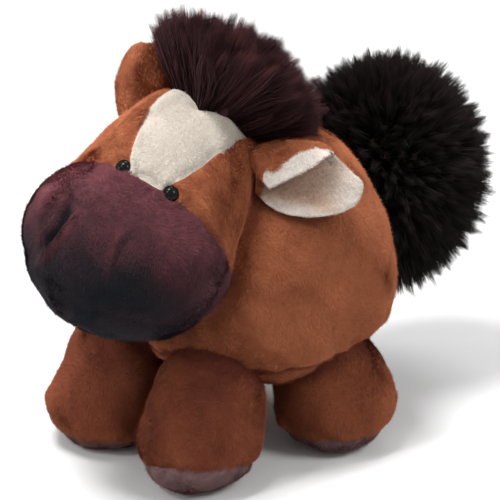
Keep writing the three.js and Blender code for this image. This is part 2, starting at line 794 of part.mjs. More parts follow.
// The tail: a tab on the body, a core on the tab, and the pile round the core.
function buildTail() {
  const outward = new THREE.Vector3(0, Math.cos(tailRootRise), Math.sin(tailRootRise));
  const upright = new THREE.Vector3(0, -Math.sin(tailRootRise), Math.cos(tailRootRise));
  const sideways = new THREE.Vector3(1, 0, 0);
  const group = new THREE.Group();
  group.position.copy(bodyPoint(outward, 0));
  bodyGroup.add(group);
  const root = new THREE.Vector3();
  const swayPivot = outward.clone().multiplyScalar(tabLength / 2);
  const body = geometryIn(group, bodyForm(-sweepGap), bodyGroup);

  const tabForm = (margin) =>
    ellipsoid([tabRadius + margin, tabLength + margin, tabRadius + margin], [0, 0, 0], [12, 8])
      .rotateX(tailRootRise);
  let tab = solidOf(tabForm(0));
  for (const lift of stepsOf(tailLift)) {
    tab = tab.subtract(solidOf(turnedPast(body, root, sideways, lift)));
  }
  addPiece(group, "tail_tab", tab, longPile);

  const clear = (solid) => {
    let left = solid;
    for (const sway of stepsOf(tailSway)) {
      const metTab = turnedPast(tabForm(sweepGap), swayPivot, upright, sway);
      left = left.subtract(solidOf(metTab));
      for (const lift of stepsOf(tailLift)) {
        const lifted = turnedPast(body, root, sideways, lift);
        left = left.subtract(solidOf(turnedPast(lifted, swayPivot, upright, sway)));
      }
    }
    return left;
  };
  const coreAt = (margin) =>
    ellipsoid(
      corePlumeRadii.map((radius) => radius + margin),
      [0, coreBack, -coreDrop],
      [14, 10],
    );
  const plume = ellipsoid(plumeRadii, [0, plumeBack, -plumeDrop], pileDivisions);
  addPiece(group, "tail_core", clear(solidOf(coreAt(0))), filling);
  const pile = clear(solidOf(plume).subtract(solidOf(coreAt(seamGap))));
  addPiece(group, "tail_pile", pile, longPile);
}

buildBody();
buildHead();
buildEyes();
buildEars();
buildManePile();
legs.forEach(buildLeg);
buildTail();

// The origin is on the floor under the middle of the whole horse.
horse.updateMatrixWorld(true);
const extent = new THREE.Box3().setFromObject(horse, true);
const middle = extent.getCenter(new THREE.Vector3());
horse.position.set(-middle.x, -middle.y, -extent.min.z);

export default horse;
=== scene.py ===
# A small plush horse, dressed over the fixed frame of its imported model.
# The forms are worked out in millimetres, as in the frame's source, and go to Blender in metres.
import json
import math

import bpy
import numpy as np
from mathutils import Euler, Matrix, Vector
from mathutils.kdtree import KDTree


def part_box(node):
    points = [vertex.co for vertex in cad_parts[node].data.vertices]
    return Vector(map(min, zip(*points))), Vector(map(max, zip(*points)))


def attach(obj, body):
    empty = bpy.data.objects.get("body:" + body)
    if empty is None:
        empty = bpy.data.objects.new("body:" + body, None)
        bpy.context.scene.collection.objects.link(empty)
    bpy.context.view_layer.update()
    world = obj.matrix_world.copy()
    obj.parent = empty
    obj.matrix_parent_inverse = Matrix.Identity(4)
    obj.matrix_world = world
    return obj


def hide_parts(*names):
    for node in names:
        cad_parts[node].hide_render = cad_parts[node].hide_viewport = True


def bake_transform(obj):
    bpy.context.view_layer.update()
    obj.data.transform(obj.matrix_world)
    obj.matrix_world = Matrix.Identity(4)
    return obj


MM = 0.001
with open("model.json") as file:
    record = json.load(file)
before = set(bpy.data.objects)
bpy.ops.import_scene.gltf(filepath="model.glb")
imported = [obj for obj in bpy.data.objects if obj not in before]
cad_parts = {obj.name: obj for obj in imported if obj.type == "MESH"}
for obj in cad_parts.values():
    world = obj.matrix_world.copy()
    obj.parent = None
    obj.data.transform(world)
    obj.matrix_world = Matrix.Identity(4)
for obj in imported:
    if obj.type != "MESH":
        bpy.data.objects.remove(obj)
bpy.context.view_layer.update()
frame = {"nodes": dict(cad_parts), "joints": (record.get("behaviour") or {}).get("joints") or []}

# A field's value where nothing is to be found
FAR = 99.0

# The body, a round bag that sags a little at its lower half
BODY_HALF = np.array([60.0, 54.0, 52.5])
BODY_SQUARENESS = 2.9
BODY_SAG_SHARE = 0.13
BELLY_SEAM_DROP = 37.0
EAR_REST = np.array([34.0, -20.0, 32.0])
FEET_FORWARD = 17.5

# The head, a crown and a wide muzzle that run into each other, placed from the body's centre
HEAD_OFFSET = np.array([0.3, -45.5, 24.0])
HEAD_NOD, HEAD_TILT, HEAD_TURN = (math.radians(a) for a in (-9.0, 22.0, 24.5))
CROWN_RADII = np.array([40.0, 54.5, 53.5])
MUZZLE_RADII = np.array([43.0, 50.5, 36.3])
MUZZLE_CENTRE = np.array([0.0, -23.5, -10.0])
CHEEK_SHARPNESS = 22.0

# The seams of the head
MUZZLE_SEAM_LEAN = math.radians(42.0)
MUZZLE_SEAM_FORWARD = 18.1
MUZZLE_SEAM_SWEEP = 5.1
CHIN_SEAM_DROP = 24.0
BLAZE_PLACES = [-120.0, -46.8, -44.5, -39.5, -32.5, -23.6, -16.0, 6.0, 40.0]
BLAZE_HALF_WIDTHS = [8.0, 8.0, 9.5, 12.8, 15.5, 16.8, 18.5, 19.0, 19.0]
MANE_NOTCH = -15.0
MANE_HALF_WIDTH = 19.0
MANE_UNDER_CENTRE = np.array([0.0, 16.0, 48.0])
MANE_UNDER_RADII = np.array([15.0, 27.0, 21.0])
MANE_CORNER = 6.0

# Each nostril's side, place, depth and size
NOSTRILS = [(-1.0, (-19.0, -66.0, -2.5), 5.4, 1.0), (1.0, (8.0, -69.0, 3.0), 1.4, 0.75)]
NOSTRIL_DEEPEST = 5.4
NOSTRIL_HALF_WIDTH = 2.1
NOSTRIL_REACH = 9.0
LIP_ASIDE = 3.8
LIP_HALF_WIDTH = 1.9
LIP_REACH = 13.0
LIP_SHARE = 0.4

# The bead eyes, whose middles lie a little under the head's form
EYE_PLACE = np.array([11.8, -46.0, 26.4])
EYE_RADIUS = 3.5
EYE_RADII = np.array([1.0, 1.0, 0.92]) * EYE_RADIUS
EYE_SINK = 1.9
EYE_RIM_RADIUS = 4.6
EYE_SEAT_PROBES = np.array([[2.0, 0, 0], [-2.0, 0, 0], [0, 2.0, 2.0], [0, -2.0, -2.0]])

# The ears, cupped leaves; each list after EAR_PLACES holds a value for each of its places
EAR_BASE = np.array([29.0, 3.0, 36.0])
EAR_LENGTH = 42.6
EAR_BURIED = 9.0
EAR_LAYER = 1.9
EAR_PLACES = [-9.0, -4.0, 1.0, 5.0, 10.0, 15.0, 21.5, 25.0, 29.0, 34.5, 38.0]
EAR_FOLD_RISE = [2.5, 6.5, 9.3, 10.6, 11.7, 12.8, 13.4, 12.8, 10.8, 7.4, 5.5]
EAR_FLAP = [3.0, 6.0, 13.0, 17.8, 15.1, 12.7, 8.1, 3.5, 1.0, 0.5, 0.3]
EAR_FOLD_ANGLE = [165.0, 165.0, 165.0, 165.0, 162.0, 158.0, 150.0, 120.0, 70.0, 40.0, 30.0]
EAR_FOLD_RADIUS = [2.4, 2.4, 2.6, 3.0, 3.6, 3.6, 3.6, 3.6, 3.6, 3.6, 3.6]
EAR_BAND = [0.5, 0.5, 0.5, 4.0, 9.0, 9.5, 8.0, 4.0, 2.0, 1.5, 1.5]
EAR_LOWER = [3.0, 7.0, 10.5, 13.8, 16.2, 17.0, 16.6, 15.8, 14.6, 12.3, 10.0]
EAR_ROUNDING_PLACE = 36.0
EAR_CUP = 0.035
EAR_ARC_STEPS = 40
EAR_EDGE_PUFF = 0.35
EAR_ROOT_BROWN = 2.0
EAR_ROOT_SLOPE = 0.75

# Each ear's side, sweep, lift and roll
EAR_POSES = {"left": (1.0, 16.0, 14.0, -19.0), "right": (-1.0, 81.0, 27.6, 61.0)}

# The legs
LEG_TOP_DROP = 4.0
LEG_WIDEST_HEIGHT = 21.0
FOOT_RADIUS = 26.4
LEG_TOP_RADIUS = 19.5
LEG_SQUARENESS = 2.25
SOLE_SEAM_HEIGHT = 8.5
SOLE_FLAT = 0.5
SOLE_TILTS = {"front_left": 0.33, "front_right": -0.1, "rear_left": 0.06, "rear_right": 0.06}

# Each leg's side, the place of its foot, and how far its top leans from there
LEGS = {
    "front_left": (1.0, (29.0, -35.0), (-4.0, 26.0)),
    "front_right": (-1.0, (29.0, -35.0), (-4.0, 26.0)),
    "rear_left": (1.0, (40.0, 35.0), (-8.0, -10.0)),
    "rear_right": (-1.0, (40.0, 35.0), (-8.0, -10.0)),
}

# The tail: its tab, and a plume placed from the tab's root
TAIL_ROOT_RISE = math.radians(30.0)
PLUME_RADII = np.array([38.0, 43.0, 52.5])
PLUME_OFFSET = np.array([0.0, 40.0, -18.0])
PLUME_SHIFT = np.array([0.0, -1.0, 0.0])
PLUME_SPREAD = np.array([1.27, 1.27, 1.12])
TAB_RADII = np.array([5.0, 9.0, 5.0])

# How finely each form is divided
BODY_CELLS = 58
HEAD_CELLS = 64
EAR_CELLS = 40
LEG_CELLS = 36
EYE_CELLS = 14
TAB_CELLS = 10
PLUME_CELLS = 24
FILLING_CELLS = 20
LEG_FILLING_CELLS = 12

# How far the fillings lie inside, and how far neighbours run on under each other
FILLING_INSET = 4.4
BODY_FILLING_INSET = 6.8
HEAD_UNDER_BODY = 10.0
LEG_UNDER_BODY = 4.0
EAR_UNDER_HEAD = 1.5
EAR_UNDER_BODY = 7.0
NECK_SUNK = 4.0
FILLING_GAP = 1.0
LEG_FILLING_GAP = 3.0
LEG_FILLING_LEVEL = 2.6

# How deep under a neighbour a pile still grows
UNDER_HEAD = 5.0
UNDER_LEG = 3.0
UNDER_BODY = 9.0
UNDER_EYE = 0.4
HIP_DROP = 10
RIM_LEVEL = 1.2

# How far before and behind an ear's or a leg's hinge the ends of its span lie; a panel given a span is left
# in place
EAR_BLEND = (1.0, 9.0)
LEG_BLEND = (12.0, 14.0)

# Seams, dents and rims, each by its width and depth
BELLY_DIP = (2.2, 2.2)
BACK_DIP = (1.8, 0.9)
MUZZLE_DIP = (2.2, 0.8)
CHIN_DIP = (2.0, 0.5)
BLAZE_DIP = (1.8, 1.0)
NECK_DIP = (5.0, 1.5)
SOLE_DIP = (1.8, 1.1)
HEAD_DENT = (7.0, 3.2)
EAR_DENT = (19.0, 4.5)
LEG_DENT = (4.5, 2.0)
EYE_DENT = (2.5, 0.9)
EYE_RIM = (1.7, 1.0)

# Puckers along seams, each by its height, reach, size and seed
BODY_PUCKERS = (0.6, 7.0, 9.0, 31)
HEAD_PUCKERS = (0.2, 6.0, 8.0, 51)
LEG_PUCKERS = (0.35, 5.0, 7.0, 71)

# Lumps of the surfaces, each by its height, size and seed
BODY_LUMPS = [(0.9, 62.0, 32), (0.28, 21.0, 33)]
HEAD_LUMPS = [(0.7, 55.0, 52), (0.22, 19.0, 53)]
LEG_LUMPS = [(0.6, 38.0, 75), (0.2, 14.0, 79)]
FILLING_LUMPS = [(0.4, 9.0, 41)]
MANE_UNDER_LUMPS = [(1.0, 10.0, 83)]
TAIL_UNDER_LUMPS = [(1.2, 12.0, 81)]

# The short pile; spreads are of angles in radians
PILE_LENGTH = 1.9
PILE_HALF_WIDTH = 0.15
PILE_ROOTED = 0.25
PILE_STAND = 0.42
PILE_STAND_WANDER = [(0.10, 23.0, 13)]
PILE_WANDER = [(0.9, 34.0, 11), (0.27, 12.0, 12)]
PILE_PER_MM2 = 9.0
MUZZLE_STAND = 0.34
BLAZE_LENGTH = 1.4
LINING_LENGTH = 1.2
PALE_PILE = dict(stand=0.25, stray=0.02)
PALE_MOTTLE = 0.3
STRAY_SHARE = 0.08
STRAY_RISE = 0.6
WAY_SPREAD = 0.16
STAND_SPREAD = 0.05
TURN_SPREAD = 0.18
TONE_SPREAD = 0.03
MAP_ENDS = (0.02, 0.98)

# The long fur of the mane and the tail
FUR_LAYERS = 2
FUR_STRANDS = 38000
FUR_HALF_WIDTH = 0.17
FUR_TAPER = (1.0, 0.95, 0.7)
FUR_BEND_SPREAD = 0.06
CLUMP_POWER = 1.6
MANE_LENGTH = 36.5
MANE_TUFTS = 850
MANE_SHORT_SHARE = 0.35
MANE_SPREAD = 0.13
MANE_UPRIGHT_SHARE = 0.25
MANE_CLUMP_SHARE = 0.8
MANE_FAN = (2.3, 1.0, 1.0)
MANE_FAN_FROM = (0.0, 4.0, 6.0)
TAIL_TUFTS = 2300
TAIL_BEND = np.array([0.0, 0.02, -0.04])
TAIL_SPREAD = 2.0
TAIL_CORE_SHARE = 0.62
TAIL_CORE_GAP = 2.5
TAIL_CLUMP_SHARE = 0.82

# The tones of each pile, from dark to light
BROWN = [(0.0, (0.19, 0.046, 0.030)), (0.45, (0.43, 0.130, 0.060)), (1.0, (0.66, 0.235, 0.112))]
# The plum's near-black end is partly the muzzle's own colour and partly painted shade
PLUM = [(0.0, (0.0095, 0.0165, 0.0215)), (0.5, (0.092, 0.031, 0.038)), (1.0, (0.27, 0.080, 0.097))]
PLUM_SHEEN = (0.6, 0.40, 0.46)
# The soles' plum, lighter than the muzzle's plum: painted light from the floor's bounce
SOLE_BOUNCE_LIT = [(0.0, (0.20, 0.105, 0.105)), (0.5, (0.36, 0.21, 0.21)), (1.0, (0.52, 0.35, 0.34))]
CREAM = [(0.0, (0.48, 0.41, 0.34)), (0.45, (0.66, 0.59, 0.51)), (1.0, (0.76, 0.71, 0.65))]
# The lining's cream, from painted shade in its hollow to painted light on its raised edges
LINING_SHADED_TO_LIT = [(0.0, (0.42, 0.235, 0.165)), (0.5, (0.68, 0.51, 0.40)), (1.0, (0.88, 0.84, 0.79))]
FUR = [(0.0, (0.018, 0.0085, 0.010)), (0.5, (0.080, 0.031, 0.034)), (1.0, (0.26, 0.090, 0.080))]
TAIL = [(0.0, (0.015, 0.0120, 0.0130)), (0.6, (0.032, 0.024, 0.0235)), (1.0, (0.070, 0.046, 0.039))]

# Shares of the way from dark to light for whole panels and parts: painted light and shade, and the mane's and
# tail's own tones
BODY_PAINTED_LIGHT_SHARE = 0.16
HEAD_PAINTED_LIGHT_SHARE = 0.04
EAR_PAINTED_LIGHT_SHARE = 0.12
LEG_PAINTED_SHADE_SHARE = 0.18
FRONT_LEG_PAINTED_SHADE_SHARE = 0.14
MUZZLE_PAINTED_SHADE_SHARE = 0.10
MUZZLE_TOP_PAINTED_LIGHT_SHARE = 0.34
NOSTRIL_PAINTED_SHADE_SHARE = 0.62
LINING_PAINTED_SHADE_SHARE = 0.34
LINING_PAINTED_LIGHT_SHARE = 0.36
MANE_TONE_SHARE = 0.42
TAIL_TONE_SHARE = 0.45
TAIL_TOP_PAINTED_LIGHT_SHARE = 0.12

# Patches of tone, each by its share, size and seed
PILE_PATCHES = [(0.04, 24.0, 21), (0.05, 9.0, 22), (0.05, 3.5, 23)]
HEAD_PATCHES = [(0.04, 14.0, 26)]
LEG_PATCHES = [(0.05, 26.0, 24)]
MANE_PATCHES = [(0.12, 9.0, 62)]
TAIL_PATCHES = [(0.07, 11.0, 82)]

# Painted shade along seams and creases, and painted light near the legs' lower edge and at a corner of the
# muzzle, each by its width and share
BELLY_PAINTED_SHADE = (1.3, 0.7)
BACK_PAINTED_SHADE = (1.5, 0.2)
FACE_SEAM_PAINTED_SHADE = (1.5, 0.1)
CREASE_PAINTED_SHADE = (4.0, 0.25)
NECK_PAINTED_SHADE = (5.0, 0.3)
LEG_FLOOR_PAINTED_LIGHT = (17.0, 0.22)
MUZZLE_CORNER_PAINTED_LIGHT = (15.0, 0.42)

# Where the muzzle turns from plum to near black, partly its own colours and partly painted shade on its lower
# side, and where painted light lifts its top and one upper corner
MUZZLE_DARK_RISE = np.array([-0.116, 0.696, 0.709])
MUZZLE_DARK_LEVEL = 58.7
MUZZLE_DARK_WANDER = [(3.0, 26.0, 61)]
MUZZLE_DARK_FADE = 4.0
MUZZLE_TOP_LIGHT_HEIGHT = 45.0
PAINTED_LIGHT_CORNER_PLACE = (-31.0, -44.0, 12.0)

# The camera of the photograph
CAMERA_AZIMUTH = math.radians(47.0)
CAMERA_ELEVATION = math.radians(21.5)
CAMERA_DISTANCE = 1100.0
CAMERA_LENS = 186.1
CAMERA_SENSOR = 36.0
CAMERA_CLIP = (0.05, 20.0)
CAMERA_TARGET = np.array([11.12, -5.58, 0.1])

# The studio, and each lamp's place towards the camera, to its right and up in metres, size and watts
WORLD_LIGHT = 0.41
FLOOR_HALF = 6.0
FLOOR_BOUNCE_SHARE = 0.42
LAMPS = [
    ("key", 0.15, -0.32, 1.25, 0.5, 15.5),
    ("fill", 0.55, 0.95, 0.9, 0.6, 7.5),
    ("catch", 0.515, -0.6, 0.74, 0.14, 2.0),
    ("side", 0.3, -1.1, 0.25, 0.6, 3.5),
    ("back", -0.55, 0.25, 1.1, 0.6, 4.0),
]

filling_low, filling_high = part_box("body_filling")
BODY_CENTRE = np.array((filling_low + filling_high) / 2) / MM
BODY_CENTRE[0] = 0.0
FEET_MIDDLE = BODY_CENTRE - [0.0, FEET_FORWARD, BODY_CENTRE[2]]
HEAD_CENTRE = BODY_CENTRE + HEAD_OFFSET
LEG_HEIGHT = BODY_CENTRE[2] - LEG_TOP_DROP
HEAD_TURNING = np.array(Euler((HEAD_NOD, HEAD_TILT, HEAD_TURN), "XYZ").to_matrix())


# Small tools


def unit(vectors):
    return vectors / np.maximum(np.linalg.norm(vectors, axis=-1, keepdims=True), 1e-9)


def ball(cells):
    """Unit directions and triangles of a ball with evenly spread vertices."""
    line = np.tan(np.linspace(-1, 1, cells + 1) * math.pi / 4)
    a, b = (g.ravel() for g in np.meshgrid(line, line, indexing="ij"))
    i, j = (g.ravel() for g in np.meshgrid(range(cells), range(cells), indexing="ij"))
    corner = i * (cells + 1) + j
    right = corner + cells + 1
    first = np.stack([corner, right, right + 1], 1)
    second = np.stack([corner, right + 1, corner + 1], 1)
    square = np.concatenate([first, second])
    points, tris = [], []
    for axis in range(3):
        for sign in (-1, 1):
            side = np.zeros((len(a), 3))
            side[:, axis] = sign
            side[:, (axis + 1) % 3] = a
            side[:, (axis + 2) % 3] = b
            start = sum(len(p) for p in points)
            tris.append((square if sign > 0 else square[:, ::-1]) + start)
            points.append(side)
    directions = unit(np.concatenate(points))
    keys = np.round(directions * 1e5).astype(int)
    _, kept, where = np.unique(keys, axis=0, return_index=True, return_inverse=True)
    return directions[kept], where.reshape(-1)[np.concatenate(tris)]


def normals_of(points, tris):
    a, b, c = (points[tris[:, k]] for k in range(3))
    face = np.cross(b - a, c - a)
    total = np.zeros_like(points)
    for k in range(3):
        np.add.at(total, tris[:, k], face)
    return unit(total)


def areas_of(points, tris):
    a, b, c = (points[tris[:, k]] for k in range(3))
    return np.linalg.norm(np.cross(b - a, c - a), axis=1) / 2


def waves(points, size, seed, count=18):
    """Smooth noise of about unit height with lumps of the given size."""
    rng = np.random.default_rng(seed)
    ways = unit(rng.normal(size=(count, 3))) * rng.uniform(0.6, 1.4, (count, 1))
    phases = rng.uniform(0, 2 * math.pi, count)
    return np.sin(points @ ways.T * (2 * math.pi / size) + phases).sum(1) / math.sqrt(count / 2)


def lumps(points, layers, shift=0):
    """Waves of several heights and sizes together; shift gives like pieces their own seeds."""
    return sum(height * waves(points, size, seed + shift) for height, size, seed in layers)


def puckers(seam, points, form, shift=0):
    """The uneven pull along a seam, which fades with the distance from it."""
    height, reach, size, seed = form
    return height * np.exp(-np.abs(seam) / reach) * waves(points, size, seed + shift)


def dips(distance, width, depth):
    """A soft groove where the distance is nothing, or a shade of that form."""
    return depth * np.exp(-((distance / width) ** 2))


def beyond(distance):
    return np.maximum(distance, 0)


def within(*fields):
    """The field of what all the fields, which are negative inside, hold in common."""
    return np.maximum.reduce(fields)


def off_floor(points, level=0.0):
    """The points, with those under a level raised to it."""
    return np.maximum(points, [-np.inf, -np.inf, level])


def lumpy(points, tris, layers):
    return points + normals_of(points, tris) * lumps(points, layers)[:, None]


def sunk_rows(points, tris, depth, *fields):
    """Rows of place, normal and fields of a form whose surface sinks by depth."""
    moved = off_floor(points - normals_of(points, tris) * depth[:, None])
    return np.concatenate([moved, normals_of(moved, tris), np.stack(fields, 1)], 1)


def clip(rows, tris, values):
    """The part of a triangle mesh where the values are negative, cut along their zero line."""
    inside = values < 0
    count = inside[tris].sum(1)
    kept = list(map(tuple, tris[count == 3]))
    made, extra = {}, []
    for tri in tris[(count > 0) & (count < 3)]:
        ring = []
        for k in range(3):
            a, b = int(tri[k]), int(tri[(k + 1) % 3])
            if inside[a]:
                ring.append(a)
            if inside[a] != inside[b]:
                key = (min(a, b), max(a, b))
                if key not in made:
                    share = values[key[0]] / (values[key[0]] - values[key[1]])
                    made[key] = len(rows) + len(extra)
                    extra.append(rows[key[0]] * (1 - share) + rows[key[1]] * share)
                ring.append(made[key])
        kept += [(ring[0], ring[k], ring[k + 1]) for k in range(1, len(ring) - 1)]
    if extra:
        rows = np.concatenate([rows, np.array(extra)])
    tris = np.array(kept, int).reshape(-1, 3)
    used, where = np.unique(tris, return_inverse=True)
    return rows[used], where.reshape(-1, 3)


# The forms, the same as in the frame's source


def body_points(directions, inset=0.0):
    d = unit(directions)
    p = d / (np.abs(d) ** BODY_SQUARENESS).sum(1, keepdims=True) ** (1 / BODY_SQUARENESS)
    spread = 1 - BODY_SAG_SHARE * p[:, 2:]
    half = BODY_HALF - inset
    return p * half * np.concatenate([spread, spread, np.ones_like(spread)], 1)


def outside_body(points):
    """About how far points lie outside the body."""
    p = points - BODY_CENTRE
    rise = np.clip(p[:, 2] / BODY_HALF[2], -1.3, 1.3)
    spread = 1 - BODY_SAG_SHARE * rise
    q = np.stack([p[:, 0] / spread, p[:, 1] / spread, p[:, 2]], 1) / BODY_HALF
    reach = (np.abs(q) ** BODY_SQUARENESS).sum(1) ** (1 / BODY_SQUARENESS)
    return (reach - 1) * np.linalg.norm(p, axis=1) / np.maximum(reach, 1e-6)


def reach_of(directions, centre, radii):
    d, c = directions / radii, centre / radii
    along, square = d @ c, (d * d).sum(1)
    return (along + np.sqrt(along**2 - square * (c @ c - 1))) / square


def head_reach(directions, inset=0.0):
    crown = reach_of(directions, np.zeros(3), CROWN_RADII - inset)
    muzzle = reach_of(directions, MUZZLE_CENTRE, MUZZLE_RADII - inset)
    total = crown**CHEEK_SHARPNESS + np.maximum(muzzle, 1e-3) ** CHEEK_SHARPNESS
    return total ** (1 / CHEEK_SHARPNESS)


def head_points(directions, inset=0.0):
    d = unit(directions)
    return d * head_reach(d, inset)[:, None]


def on_head(place, side=1):
    """Where the way to a place, on one side or the other, meets the head's form."""
    return head_points(np.array([place]) * [side, 1, 1])[0]


def to_head(points):
    return (points - HEAD_CENTRE) @ HEAD_TURNING


def from_head(points):
    return points @ HEAD_TURNING.T + HEAD_CENTRE


def outside_head(points):
    p = to_head(points)
    return np.linalg.norm(p, axis=1) - head_reach(unit(p))


def leg_points(directions, name, inset=0.0):
    side, foot, lean = LEGS[name]
    d, power = unit(directions), LEG_SQUARENESS
    flat = np.hypot(d[:, 0], d[:, 1])
    scale = (flat**power + np.abs(d[:, 2]) ** power) ** (-1 / power)
    rise = d[:, 2] * scale
    above = np.maximum(0, rise)
    radius = FOOT_RADIUS + (LEG_TOP_RADIUS - FOOT_RADIUS) * above - inset
    up = rise * (LEG_HEIGHT - LEG_WIDEST_HEIGHT - inset)
    down = rise * (LEG_WIDEST_HEIGHT + SOLE_FLAT - inset)
    height = LEG_WIDEST_HEIGHT + np.where(rise > 0, up, down)
    x = d[:, 0] * scale * radius + side * lean[0] * above + side * foot[0]
    y = d[:, 1] * scale * radius + lean[1] * above + foot[1]
    return np.stack([x, y, height], 1) + FEET_MIDDLE


def outside_leg(points, name):
    """About how far points lie outside a leg, measured level with the floor."""
    side, foot, lean = LEGS[name]
    rise = (points[:, 2] - LEG_WIDEST_HEIGHT) / np.where(
        points[:, 2] > LEG_WIDEST_HEIGHT, LEG_HEIGHT - LEG_WIDEST_HEIGHT, LEG_WIDEST_HEIGHT
    )
    above = np.clip(rise, 0, 1)
    centre_x = side * (foot[0] + lean[0] * above) + FEET_MIDDLE[0]
    centre_y = foot[1] + lean[1] * above + FEET_MIDDLE[1]
    level = np.maximum(1 - np.clip(np.abs(rise), 0, 0.999) ** LEG_SQUARENESS, 1e-3)
    radius = (FOOT_RADIUS + (LEG_TOP_RADIUS - FOOT_RADIUS) * above) * level ** (1 / LEG_SQUARENESS)
    return np.hypot(points[:, 0] - centre_x, points[:, 1] - centre_y) - radius


# Materials


def node(tree, kind, inputs=None, **settings):
    """A new shader node with its settings, and with values on its input sockets."""
    made = tree.nodes.new(kind)
    for key, value in settings.items():
        setattr(made, key, value)
    for key, value in (inputs or {}).items():
        made.inputs[key].default_value = value
    return made


def new_material(name, roughness, sheen=0.0, sheen_tint=(1, 1, 1), specular=0.3):
    material = bpy.data.materials.new(name)
    material.use_nodes = True
    shader = material.node_tree.nodes["Principled BSDF"]
    shader.inputs["Roughness"].default_value = roughness
    shader.inputs["Specular IOR Level"].default_value = specular
    shader.inputs["Sheen Weight"].default_value = sheen
    shader.inputs["Sheen Roughness"].default_value = 0.5
    shader.inputs["Sheen Tint"].default_value = (*sheen_tint, 1)
    return material, material.node_tree, shader


def ramp(tree, stops):
    made = node(tree, "ShaderNodeValToRGB")
    elements = made.color_ramp.elements
    while len(elements) < len(stops):
        elements.new(0.5)
    for element, (place, colour) in zip(elements, stops):
        element.position = place
        element.color = (*colour, 1)
    return made


def noise_of(tree, inputs):
    """Noise over the object's own space."""
    place = node(tree, "ShaderNodeTexCoord")
    noise = node(tree, "ShaderNodeTexNoise", inputs)
    tree.links.new(place.outputs["Object"], noise.inputs["Vector"])
    return noise.outputs["Fac"]


def coloured(tree, value, stops):
    """The colour that a value picks from a ramp's stops."""
    colours = ramp(tree, stops)
    tree.links.new(value, colours.inputs["Fac"])
    return colours.outputs["Color"]


def multiply(tree, first, second, shader):
    """Gives a shader the product of two colours."""
    mix = node(tree, "ShaderNodeMix", {"Factor": 1}, data_type="RGBA", blend_type="MULTIPLY")
    tree.links.new(first, mix.inputs["A"])
    tree.links.new(second, mix.inputs["B"])
    tree.links.new(mix.outputs["Result"], shader.inputs["Base Color"])


def knit(tree, shader):
    """Gives a shader the fine bump of a knit, and returns the noise that the bump follows."""
    noise = noise_of(tree, {"Scale": 900, "Detail": 3})
    bump = node(tree, "ShaderNodeBump", {"Strength": 0.6, "Distance": 0.0006})
    tree.links.new(noise, bump.inputs["Height"])
    tree.links.new(bump.outputs["Normal"], shader.inputs["Normal"])
    return noise


def cloth_material(name, dark, light, lump=0.012):
    """A knitted cloth of mottled colour; lump is the mottle's size in metres."""
    material, tree, shader = new_material(name, 0.9, 0.2, light, 0.1)
    mottle = noise_of(tree, {"Scale": 1 / lump, "Detail": 6, "Roughness": 0.65})
    tree.links.new(coloured(tree, mottle, [(0.32, dark), (0.68, light)]), shader.inputs["Base Color"])
    knit(tree, shader)
    return material


def grained_material(name, roughness, specular, scale, dark, light):
    """A moulded surface with a faint grain of two near colours."""
    material, tree, shader = new_material(name, roughness, specular=specular)
    grain = noise_of(tree, {"Scale": scale})
    tree.links.new(coloured(tree, grain, [(0.3, dark), (0.7, light)]), shader.inputs["Base Color"])
    return material


def ground_material(name, stops, sheen, sheen_tint):
    """The knitted ground under a pile, in the pile's own tones, which come with the mesh, darkened by the
    knit's grain and by painted shade under the pile.
    """
    material, tree, shader = new_material(name, 0.9, sheen, sheen_tint, 0.1)
    tone = node(tree, "ShaderNodeAttribute", attribute_name="tone")
    shade = coloured(tree, knit(tree, shader), [(0.3, (0.6,) * 3), (0.7, (0.85,) * 3)])
    multiply(tree, coloured(tree, tone.outputs["Fac"], stops), shade, shader)
    return material


def strand_material(name, stops, root_shade_share, roughness, sheen, specular, sheen_tint=None):
    """The map's first way picks the strand's own colour, and its second runs from root to tip, darkening the
    roots as painted shade deep in the pile.
    """
    material, tree, shader = new_material(name, roughness, sheen, sheen_tint or stops[-1][1], specular)
    place = node(tree, "ShaderNodeUVMap", uv_map="OFBake")
    parts = node(tree, "ShaderNodeSeparateXYZ")
    tree.links.new(place.outputs["UV"], parts.inputs["Vector"])
    root_shade = [(0.0, (root_shade_share,) * 3), (0.6, ((1 + root_shade_share) / 2,) * 3), (1.0, (1, 1, 1))]
    own = coloured(tree, parts.outputs["X"], stops)
    multiply(tree, own, coloured(tree, parts.outputs["Y"], root_shade), shader)
    return material


def plush(name, slot, stops, root_shade_share, sheen, sheen_tint=None):
    """A short plush: the materials of its ground and its pile, and its slot."""
    tint = sheen_tint or stops[-1][1]
    pile = strand_material(name + "_pile", stops, root_shade_share, 0.8, sheen, 0.09, tint)
    return ground_material(name + "_ground", stops, sheen, tint), pile, slot


# The share after each pile's tones is how dark painted shade makes its roots
brown_plush = plush("brown_plush", "brown_plush", BROWN, 0.55, 0.2)
plum_plush = plush("plum_plush", "plum_plush", PLUM, 0.75, 0.2, PLUM_SHEEN)
# The soles share the plum plush's slot; their lighter tones are painted bounce light
sole_bounce_lit_plush = plush("sole_bounce_lit_plush", "plum_plush", SOLE_BOUNCE_LIT, 0.7, 0.1)
cream_plush = plush("cream_plush", "cream_plush", CREAM, 0.8, 0.15)
# The lining shares the blaze's cream slot; its darker and whiter tones are painted shade and light
lining_plush = plush("lining_plush", "cream_plush", LINING_SHADED_TO_LIT, 0.8, 0.15)
fur_ground = cloth_material("fur_ground", FUR[0][1], FUR[1][1])
mane_hair = strand_material("mane_fur", FUR, 0.3, 0.6, 0.1, 0.09)
tail_hair = strand_material("tail_fur", TAIL, 0.45, 0.7, 0.05, 0.05)
fibre = cloth_material("filling_fibre", (0.72, 0.71, 0.68), (0.86, 0.85, 0.82), 0.006)
bead = grained_material("bead_black", 0.06, 0.12, 700, (0.002, 0.002, 0.002), (0.006, 0.0055, 0.0055))
washer_plastic = grained_material("washer_white", 0.5, 0.4, 1200, (0.62, 0.62, 0.60), (0.72, 0.72, 0.70))


# Pieces and their pile


